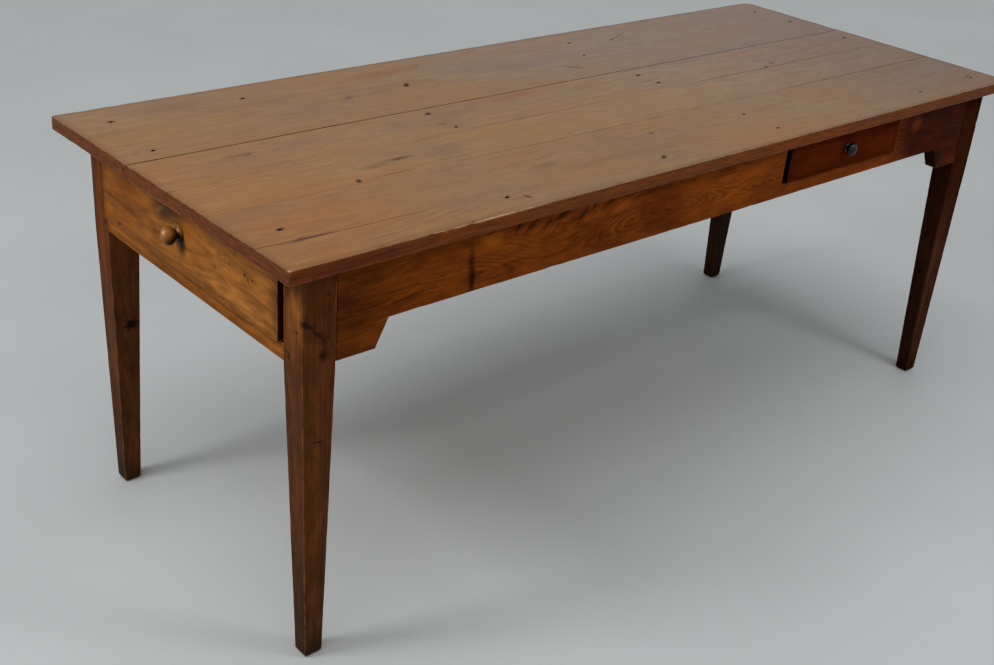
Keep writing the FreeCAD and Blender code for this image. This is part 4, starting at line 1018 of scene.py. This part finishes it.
# torn grain under the top: dark strokes, each with a lighter one below it
# x, z, lean, half length and half width
tornGrain = [
    (-0.56, 0.727, 15, 0.030, 0.007), (-0.505, 0.722, 58, 0.022, 0.007), (-0.478, 0.714, 38, 0.034, 0.009),
    (-0.436, 0.712, 50, 0.026, 0.006), (-0.40, 0.722, 22, 0.036, 0.010), (-0.352, 0.711, 44, 0.028, 0.008),
    (-0.325, 0.721, 62, 0.020, 0.006), (-0.285, 0.722, 24, 0.036, 0.008), (-0.235, 0.729, 12, 0.034, 0.006),
]
tearOuts = []
for x, z, lean, long, wide in tornGrain:
    tearOuts.append(
        frontMark(x + 0.014, z - 0.010, long * 0.9, wide * 0.8, lean - 6, 0.0, (168, 80, 24), 0.55, 0.0))
    tearOuts.append(frontMark(x, z, long, wide, lean, 0.0, (42, 15, 6), 0.75, 0.6))
aprons = {
    "front_apron": {
        "front": -0.3575, "back": -0.3295, "notch": True,
        "look": {
            "washes": [
                # painted shade under the top's overhang, along the top of the apron
                frontWash(0.0, 0.748, 9.0, 0.028, 0.0, (0.55, 0.5, 0.55)),
                # darker towards the right end, partly painted shade
                frontWash(0.80, 0.68, 0.24, 0.16, 0.55, (0.27, 0.19, 0.34)),
                frontWash(-0.86, 0.65, 0.14, 0.16, 0.1, (0.62, 0.70, 0.9)),
                frontWash(0.07, 0.68, 0.18, 0.08, 0.2, (1.22, 1.2, 1.0)),
                frontWash(-0.14, 0.68, 0.10, 0.1, 0.1, (0.72, 0.62, 0.7)),
            ],
            "pith": (0.0, 0.345, -0.668), "tilt": (0.0, 0.6, 1.0), "seed": 4.4, "wander": 0.06,
            "ringWidth": 0.0034,
            "knots": [
                ((-0.42, -0.3575, 0.672), (0.2, 0.05, 0.05), 7.0, 0.0),
                ((0.07, -0.3575, 0.675), (0.2, 0.05, 0.06), 6.0, 0.0),
            ],
            "marks": [
                frontMark(-0.606, 0.676, 0.012, 0.055, 2, 0.0, (52, 20, 7), 0.85),
                frontMark(-0.603, 0.645, 0.010, 0.03, -4, 0.2, (38, 14, 6), 0.85),
                frontMark(-0.61, 0.735, 0.011, 0.012, 0, 0.1, (40, 17, 7), 0.8),
                frontMark(-0.565, 0.709, 0.044, 0.020, -14, 0.0, (190, 104, 24), 0.7, 0.0),
                frontMark(-0.255, 0.705, 0.038, 0.014, 15, 0.1, (172, 86, 30), 0.8, 0.0),
                frontMark(-0.876, 0.66, 0.006, 0.12, 0, 0.2, (34, 16, 7), 0.8, 0.2),
                ((0.80, -0.343, 0.597), (0.022, 0.05, 0.05), 0, 0.4, (36, 14, 6), 0.9, 0.0),
                frontMark(0.688, 0.705, 0.03, 0.03, 0, 0.0, (124, 56, 15), 0.8, 0.0),
                frontMark(0.40, 0.636, 0.2, 0.016, 0, 0.2, (112, 48, 13), 0.6, 0.0),
            ] + tearOuts,
        },
    },
    "back_apron": {
        "front": 0.3075, "back": 0.3355, "notch": False,
        "look": {
            "pith": (0.0, -0.33, -0.69), "tilt": (0.0, -0.5, -0.8), "seed": 14.2, "wander": 0.06,
            "knots": [((0.33, 0.3355, 0.68), (0.15, 0.05, 0.04), 4.0, 0.6)], "marks": [],
        },
    },
}


def makeApron(name, apron):
    s = apronShape
    left, right = s["left"] - s["into"], s["right"] + s["into"]
    leftFlat, rightFlat = s["left"] + s["flat"], s["right"] - s["flat"]
    points = [(left, s["top"]), (left, s["bracket"]), (leftFlat, s["bracket"]),
              (leftFlat + s["run"], s["bottom"]), (rightFlat - s["run"], s["bottom"]),
              (rightFlat, s["bracket"]), (right, s["bracket"]), (right, s["top"])]
    if apron["notch"]:
        points += [(s["notchRight"], s["top"]), (s["notchRight"], s["notchBottom"]),
                   (s["notchLeft"], s["notchBottom"]), (s["notchLeft"], s["top"])]
    bm = outlined(points, 1, apron["front"], apron["back"])
    sliced(bm, 0, s["slice"], (s["notchLeft"], s["notchRight"]))
    sliced(bm, 2, s["slice"], (s["notchBottom"], s["bottom"]))
    weathered(bm, s, apron["look"]["seed"])
    piece = meshObject(bm, name + "_planed")
    low = (left - 0.1, apron["front"], s["bracket"])   # the ends are hidden in the legs
    high = (right + 0.1, apron["back"], s["top"])
    finish = woodFinish(name + "_finish", {**apronWood, **apron["look"]}, low, high)
    settled(piece, "frame", name, finish)


for name, apron in aprons.items():
    makeApron(name, apron)


# Straight rails and drawer fronts, each planed and eased the same way

railShape = {"arris": 0.0013, "worn": 0.001, "wearScale": 40, "planed": 0.0004, "slice": 0.022}


def makeRail(node, low, high, body, look):
    bm = block(low, high)
    for axis in (0, 1, 2):
        sliced(bm, axis, railShape["slice"])
    weathered(bm, railShape, look["seed"])
    name = node + "_planed"
    finish = woodFinish(name + "_finish", look, low, high)
    settled(meshObject(bm, name), body, node, finish)


endRailWood = {
    **apronWood, "grain": "y", "early": (168, 101, 42), "late": (112, 63, 23), "line": 0.4, "face": "x",
    "patchScale": (14.0, 7.0, 18.0), "warm": (178, 104, 38), "cool": (120, 70, 28), "wear": (190, 130, 70),
}
makeRail("end_drawer_rail", (-0.938, -0.309, 0.570), (-0.904, 0.287, 0.600), "frame",
         {**endRailWood, "pith": (0.0, -0.87, -0.55), "seed": 7.7})
rightEndWood = {
    **endRailWood, "pith": (0.0, 0.99, -0.66), "seed": 10.3, "early": (122, 66, 24), "late": (78, 40, 13),
    "knots": [((0.95, 0.08, 0.66), (0.05, 0.12, 0.035), 4.0, 0.5)],
}
makeRail("right_end_apron", (0.924, -0.309, 0.570), (0.950, 0.287, 0.745), "frame", rightEndWood)
print("aprons and rails made")


# End drawer front, honey coloured, with its turned knob

endDrawerWood = {
    "grain": "y", "face": "x", "pith": (0.0, -0.985, -0.668), "tilt": (0.0, 0.0, 1.2), "seed": 15.6,
    "ringWidth": 0.0085, "wander": 0.06, "early": (164, 101, 40), "late": (114, 63, 20), "line": 0.42,
    "fibre": 0.6, "streak": 1.5, "pore": 0.3, "mottle": 0.45, "warm": (172, 104, 36), "cool": (116, 68, 26),
    "patch": 0.75, "patchScale": (14.0, 8.0, 18.0), "wear": (184, 128, 66), "wearAmount": 0.5,
    "wearWidth": 0.0028, "grime": (66, 35, 13), "grimeAmount": 0.45, "rough": (0.34, 0.5), "bump": 0.25,
    # the ends of the front are near black: painted shade in the gaps beside the drawer
    "sides": [
        ("Y", -0.2972, -1, (0.02, 0.02, 0.03), 0.0009, 0.4),
        ("Y", 0.2802, 1, (0.02, 0.02, 0.03), 0.0009, 0.4),
    ],
}


def endMark(y, z, halfY, halfZ, angle=0, core=0.2, stain=(62, 34, 16), amount=0.8, sink=0.4):
    return ((-0.945, y, z), (0.012, halfY, halfZ), angle, core, stain, amount, sink)


def endWash(y, z, halfY, halfZ, core, tint):
    return ((-0.945, y, z), (0.05, halfY, halfZ), core, tint)


endDrawerWood["knots"] = [
    ((-0.945, 0.075, 0.715), (0.05, 0.16, 0.05), 1.6, 0.0),
    ((-0.945, -0.2, 0.64), (0.05, 0.2, 0.045), 1.4, 0.0),
]
endDrawerWood["marks"] = [
    endMark(0.045, 0.703, 0.075, 0.034, 12, 0.2, (78, 44, 22), 0.85),
    endMark(0.05, 0.695, 0.035, 0.018, 25, 0.0, (84, 54, 32), 0.8),
    endMark(0.07, 0.695, 0.035, 0.008, 30, 0.0, (140, 102, 70), 0.5, 0.0),
    endMark(0.015, 0.693, 0.025, 0.007, 10, 0.0, (144, 100, 64), 0.5, 0.0),
    endMark(0.02, 0.69, 0.03, 0.012, 0, 0.0, (112, 70, 36), 0.6),
    endMark(0.222, 0.61, 0.008, 0.005, 0, 0.3, (40, 22, 10), 0.95, 0.8),
    endMark(-0.205, 0.68, 0.006, 0.005, 0, 0.3, (52, 28, 12), 0.9, 0.7),
    endMark(-0.215, 0.674, 0.003, 0.010, 20, 0.3, (56, 30, 12), 0.85, 0.7),
    endMark(-0.228, 0.679, 0.006, 0.003, 0, 0.3, (56, 30, 12), 0.85, 0.7),
    endMark(-0.16, 0.68, 0.007, 0.003, 15, 0.2, (72, 40, 18), 0.8, 0.6),
    # painted shadow of the knob, below its flange
    endMark(-0.006, 0.655, 0.017, 0.026, -8, 0.0, (34, 17, 8), 0.88, 0.0),
]
endDrawerWood["washes"] = [
    endWash(0.2, 0.67, 0.14, 0.12, 0.1, (0.74, 0.64, 0.58)),
    endWash(-0.17, 0.625, 0.16, 0.028, 0.1, (1.35, 1.45, 1.5)),
    endWash(-0.2, 0.69, 0.11, 0.034, 0.1, (1.16, 1.2, 1.25)),
    # painted shade under the top's overhang
    endWash(0.0, 0.738, 0.34, 0.02, 0.0, (0.5, 0.46, 0.55)),
]
makeRail("end_drawer_front", (-0.945, -0.2985, 0.6015), (-0.923, 0.2815, 0.743), "end_drawer",
         endDrawerWood)

# darker wood, partly painted shade
frontDrawerWood = {
    **apronWood, "pith": (0.0, 0.325, -0.72), "tilt": (0.0, 0.4, 0.8), "seed": 18.3, "early": (90, 34, 9),
    "late": (58, 19, 5), "warm": (98, 38, 10), "cool": (64, 24, 7), "wear": (118, 58, 24), "patch": 0.5,
    "specular": 0.0, "line": 0.4, "mottle": 0.25, "streak": 0.8,
    # the ends of the front are near black: painted shade in the gaps beside the drawer
    "sides": [
        ("X", 0.2303, -1, (0.03, 0.04, 0.06), 0.0009, 0.4),
        ("X", 0.6057, 1, (0.03, 0.04, 0.06), 0.0009, 0.4),
    ],
}
makeRail("front_drawer_front", (0.229, -0.3625, 0.653), (0.607, -0.3425, 0.743), "front_drawer",
         frontDrawerWood)


# Knobs, turned from a profile

endKnob = {
    "centre": (-0.945, 0.0035, 0.67425), "axis": (-1, 0, 0), "steps": 64,
    "profile": [
        (0.0, 0.0), (0.0, 0.0162), (0.0007, 0.0169), (0.0018, 0.0170), (0.0022, 0.0166), (0.0026, 0.0169),
        (0.0034, 0.0165), (0.0040, 0.0152), (0.0042, 0.0126), (0.0052, 0.0104), (0.0064, 0.0088),
        (0.0075, 0.0081), (0.0084, 0.0082), (0.0092, 0.0087), (0.0103, 0.0109), (0.0118, 0.0130),
        (0.0139, 0.0150), (0.0166, 0.0165), (0.0195, 0.0170), (0.0224, 0.0165), (0.0251, 0.0150),
        (0.0272, 0.0130), (0.0287, 0.0109), (0.0299, 0.0085), (0.0308, 0.0058), (0.0313, 0.0030),
        (0.0315, 0.0),
    ],
}
frontKnob = {
    "centre": (0.418, -0.3625, 0.698), "axis": (0, -1, 0), "steps": 48,
    "profile": [
        (0.0, 0.0), (0.0, 0.0088), (0.0012, 0.009), (0.0021, 0.0088), (0.0026, 0.0078), (0.0034, 0.0063),
        (0.0048, 0.0059), (0.0062, 0.0063), (0.0074, 0.0085), (0.0088, 0.0112), (0.0108, 0.0132),
        (0.0132, 0.014), (0.0156, 0.0139), (0.0180, 0.0129), (0.0202, 0.011), (0.0219, 0.0083),
        (0.0230, 0.005), (0.0235, 0.0),
    ],
}


def turned(knob):
    axis = Vector(knob["axis"])
    side = axis.orthogonal().normalized()
    centre = Vector(knob["centre"])
    bm = bmesh.new()
    points = [bm.verts.new(centre + axis * out + side * radius) for out, radius in knob["profile"]]
    edges = [bm.edges.new(pair) for pair in zip(points, points[1:])]
    bmesh.ops.spin(
        bm, geom=points + edges, cent=centre, axis=axis, angle=math.tau, steps=knob["steps"],
        use_merge=True)
    bmesh.ops.remove_doubles(bm, verts=bm.verts, dist=0.00001)
    bmesh.ops.recalc_face_normals(bm, faces=bm.faces)
    return bm


knobWoodAndPaintedLight = {
    "grain": "x", "pith": (0.0, 0.03, -0.66), "seed": 21.0, "ringWidth": 0.004, "wander": 0.01,
    "shake": 0.0015, "early": (150, 98, 46), "late": (104, 62, 25), "line": 0.3, "fibre": 0.4, "pore": 0.2,
    "mottle": 0.2, "warm": (160, 104, 50), "cool": (108, 64, 27), "patch": 0.5,
    "patchScale": (60.0, 60.0, 60.0), "wearAmount": 0.0, "grimeAmount": 0.0, "rough": (0.26, 0.34),
    "bump": 0.05, "specular": 0.05, "face": "x",
    "marks": [
        # dirt and painted shade in the neck
        ((-0.9525, 0.0035, 0.674), (0.006, 0.015, 0.015), 0, 0.4, (18, 9, 5), 0.92, 0.0),
        # painted shade over the lower right of the ball and the flange
        ((-0.957, -0.0095, 0.6635), (0.0235, 0.0235, 0.0235), 0, 0.45, (20, 9, 4), 0.95, 0.0),
        # painted highlight on the flange's rim
        ((-0.949, -0.0025, 0.6825), (0.0035, 0.006, 0.008), 0, 0.2, (214, 160, 130), 0.85, 0.0),
        # painted highlight: a lighter pool on the ball
        ((-0.9755, 0.0008, 0.6825), (0.012, 0.012, 0.012), 0, 0.0, (196, 130, 70), 0.7, 0.0),
        # painted highlight on the ball
        ((-0.9762, 0.0006, 0.6835), (0.0052, 0.0052, 0.0052), 0, 0.2, (240, 186, 140), 0.85, 0.0),
    ],
}
knobPaintedLightFinish = woodFinish("end_knob_painted_light_finish", knobWoodAndPaintedLight, (-0.99, -0.04, 0.64), (-0.94, 0.03, 0.71))
endKnobPiece = meshObject(turned(endKnob), "end_knob_turned")
settled(endKnobPiece, "end_drawer", "end_drawer_knob", knobPaintedLightFinish, 60)
frontKnobPiece = meshObject(turned(frontKnob), "front_knob_cast")
settled(frontKnobPiece, "front_drawer", "front_drawer_knob", blackIron, 60)
print("drawer fronts and knobs made")


# Pegs through the tenons, whittled to eight sides and left a hair proud of the wood

pegs = {
    "radius": 0.0043, "length": 0.04, "proud": 0.0002, "eased": 0.0006,
    "sides": {   # the way out on each side, and the ends' places in x, y and z
        (0, -1, 0): ((-0.890, 0.902), (-0.3585,), (0.6965, 0.6225)),
        (0, 1, 0): ((-0.890, 0.902), (0.3365,), (0.6965, 0.6225)),
        (1, 0, 0): ((0.951,), (-0.3205, 0.2985), (0.6945, 0.6205)),
        (-1, 0, 0): ((-0.939,), (-0.3205, 0.2985), (0.585,)),
    },
}


def drivePeg(bm, end, out):
    middle = Vector(end) + out * (pegs["proud"] - pegs["length"] / 2)
    peg = bmesh.ops.create_cone(
        bm, cap_ends=True, segments=8, radius1=pegs["radius"] * 0.92, radius2=pegs["radius"],
        depth=pegs["length"], matrix=Matrix.Translation(middle) @ turnTo(out))["verts"]
    tip = pegs["length"] * 0.49
    rim = [e for v in peg for e in v.link_edges if all((u.co - middle).dot(out) > tip for u in e.verts)]
    easedEdges(bm, list(dict.fromkeys(rim)), pegs["eased"])


pegMesh = bmesh.new()
for out, (xs, ys, zs) in pegs["sides"].items():
    for end in [(x, y, z) for x in xs for y in ys for z in zs]:
        drivePeg(pegMesh, end, Vector(out))
pegWood = {
    **legWood, "grain": "y", "early": (70, 38, 18), "late": (48, 25, 12), "ringWidth": 0.0012,
    # the mark darkens the pegs in the right legs, partly painted shade as on those legs
    "wander": 0.004, "marks": [((0.92, 0.0, 0.66), (0.3, 1.0, 0.5), 0, 0.9, (34, 16, 9), 0.9, 0.0)],
    "wearAmount": 0.0, "grimeAmount": 0.0, "seed": 23.5,
}
settled(meshObject(pegMesh, "joint_pegs_whittled"), "frame", "joint_pegs",
        woodFinish("peg_finish", pegWood, (-1, -1, 0), (1, 1, 1)))


# Inner pieces keep the drawn joints: each is a copy with its edges eased

innerShape = {"arris": 0.0008, "shortest": 0.012}
innerWood = {
    "early": (150, 108, 70), "late": (108, 72, 42), "line": 0.65, "fibre": 0.5, "pore": 0.2,
    "warm": (156, 104, 62), "cool": (112, 84, 60), "patch": 0.45, "patchScale": (4.0, 4.0, 9.0),
    "wear": (170, 128, 88), "wearAmount": 0.35, "wearWidth": 0.002, "grime": (74, 50, 32),
    "grimeAmount": 0.35, "rough": (0.55, 0.75), "bump": 0.35, "ringWidth": 0.006, "wander": 0.04,
}
drawerWood = {
    **innerWood, "early": (170, 128, 84), "late": (128, 88, 52), "warm": (176, 126, 78),
    "cool": (138, 106, 76),
}

# the pieces on each body, each with the way of its grain and its seed
innerPieces = {
    ("frame", "inner_pine"): [
        ("end_tie_rail", "y", 24.1), ("cross_rail_left", "y", 25.2), ("cross_rail_right", "y", 26.3),
        ("end_runner_front", "x", 27.4), ("end_runner_back", "x", 28.5), ("front_runner_left", "y", 29.6),
        ("front_runner_right", "y", 30.7), ("front_guide_left", "y", 31.8),
        ("front_guide_right", "y", 32.9), ("front_drawer_stops", "x", 33.1),
    ],
    ("end_drawer", "drawer_pine"): [
        ("end_drawer_side_front", "x", 34.2), ("end_drawer_side_back", "x", 35.3),
        ("end_drawer_back", "y", 36.4), ("end_drawer_bottom", "y", 37.5),
    ],
    ("front_drawer", "drawer_pine"): [
        ("front_drawer_side_left", "y", 38.6), ("front_drawer_side_right", "y", 39.7),
        ("front_drawer_back", "x", 40.8), ("front_drawer_bottom", "x", 41.9),
    ],
}


def makeInner(node, grain, seed, body, slotName):
    bm = bmesh.new()
    bm.from_mesh(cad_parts[node].data)
    bmesh.ops.remove_doubles(bm, verts=bm.verts, dist=0.00001)
    bmesh.ops.dissolve_limit(bm, angle_limit=math.radians(1), verts=bm.verts, edges=bm.edges)
    long = [e for e in sharpEdges(bm) if e.calc_length() > innerShape["shortest"]]
    easedEdges(bm, long, innerShape["arris"], 1)
    low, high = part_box(node)
    middle = (low + high) / 2
    across = -middle.y if grain == "x" else middle.x
    wood = innerWood if slotName == "inner_pine" else drawerWood
    look = {
        **wood, "grain": grain, "seed": seed,
        "pith": (0.0, across + 0.02 * math.sin(seed), 0.07 - middle.z),
    }
    finish = woodFinish(node + "_finish", look, tuple(low), tuple(high))
    settled(meshObject(bm, node + "_eased"), body, node, finish)


for (body, slotName), pieces in innerPieces.items():
    for node, grain, seed in pieces:
        makeInner(node, grain, seed, body, slotName)
plainMetals = {
    "end_drawer_nails": nailIron, "front_drawer_nails": nailIron, "runner_nails": nailIron,
    "front_knob_nut": nutSteel,
}
for node, metal in plainMetals.items():
    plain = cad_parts[node].data
    plain.materials.clear()
    plain.materials.append(metal)
print("inner pieces and drawers made")


# Stage: a pale floor, soft light and the camera

stageValues = {
    "floorSize": 30.0, "floor": (196, 199, 199), "backdrop": (214, 216, 218), "ambient": 0.30,
    "overhead": {"strength": 0.9, "angle": 45, "from": (-0.25, -0.1, 0.95)},
    "softboxes": {"left_softbox": {"place": (-3.0, 0.6, 2.8), "size": 0.8, "power": 40.0},
                  "front_softbox": {"place": (0.9, -2.35, 2.9), "size": 0.8, "power": 24.0}},
    "aim": (0.0, 0.0, 0.6),
}


def paleFloor():
    material, tree, place = newMaterial("pale_floor")
    mottle = cloud(tree, place, (1.6, 1.6, 1.6), 4.0, 0.5, 2.0)["Fac"]
    base = tone(*stageValues["floor"])
    colour = blend(tree, ramp(tree, mottle, 0.3, 0.7), base, (*(c * 0.94 for c in base[:3]), 1.0))
    shader = put(tree, "ShaderNodeBsdfPrincipled", {"Base Color": colour, "Roughness": 0.6})
    clear = put(tree, "ShaderNodeBsdfTransparent")   # seen from below, the floor is not there
    back = tree.nodes.new("ShaderNodeNewGeometry").outputs["Backfacing"]
    shown(tree, put(tree, "ShaderNodeMixShader", {0: back, 1: shader.outputs[0], 2: clear.outputs[0]}))
    return material


floorMesh = bmesh.new()
bmesh.ops.create_grid(floorMesh, x_segments=2, y_segments=2, size=stageValues["floorSize"] / 2)
floor = meshObject(floorMesh, "floor")
floor.data.materials.append(paleFloor())

world = bpy.data.worlds.new("studio")
scene.world = world
world.use_nodes = True
worldTree = world.node_tree
worldTree.nodes.clear()
ambient = {"Color": (0.95, 0.98, 1.0, 1.0), "Strength": stageValues["ambient"]}
soft = put(worldTree, "ShaderNodeBackground", ambient)
seen = put(worldTree, "ShaderNodeBackground", {"Color": tone(*stageValues["backdrop"]), "Strength": 1.0})
rays = worldTree.nodes.new("ShaderNodeLightPath").outputs
looking = sums(worldTree, "MAXIMUM", rays["Is Glossy Ray"], rays["Is Transmission Ray"])
looking = sums(worldTree, "MAXIMUM", rays["Is Camera Ray"], looking)
mixed = put(worldTree, "ShaderNodeMixShader", {0: looking, 1: soft.outputs[0], 2: seen.outputs[0]})
shown(worldTree, mixed, "ShaderNodeOutputWorld")

overhead = bpy.data.lights.new("overhead", "SUN")
overhead.energy = stageValues["overhead"]["strength"]
overhead.angle = math.radians(stageValues["overhead"]["angle"])
overheadLamp = bpy.data.objects.new("overhead", overhead)
overheadLamp.rotation_euler = Vector(stageValues["overhead"]["from"]).to_track_quat("Z", "Y").to_euler()
scene.collection.objects.link(overheadLamp)
for name, box in stageValues["softboxes"].items():
    light = bpy.data.lights.new(name, "AREA")
    light.size = box["size"]
    light.energy = box["power"]
    lamp = bpy.data.objects.new(name, light)
    lamp.location = box["place"]
    away = Vector(box["place"]) - Vector(stageValues["aim"])
    lamp.rotation_euler = away.to_track_quat("Z", "Y").to_euler()
    scene.collection.objects.link(lamp)

cameraValues = {
    "place": (-1.9399, -1.8638, 1.5961), "lens": 48.418, "yaw": 47.0239, "pitch": -27.4139, "roll": 4.6459,
}
cameraData = bpy.data.cameras.new("camera")
cameraData.sensor_width = 36.0
cameraData.lens = cameraValues["lens"]
camera = bpy.data.objects.new("camera", cameraData)
heading = Matrix.Rotation(math.radians(cameraValues["yaw"] - 90), 4, "Z")
nod = Matrix.Rotation(math.radians(90 + cameraValues["pitch"]), 4, "X")
lean = Matrix.Rotation(math.radians(cameraValues["roll"]), 4, "Z")
camera.matrix_world = Matrix.Translation(cameraValues["place"]) @ heading @ nod @ lean
scene.collection.objects.link(camera)
scene.camera = camera
print("stage set")

bpy.context.view_layer.update()
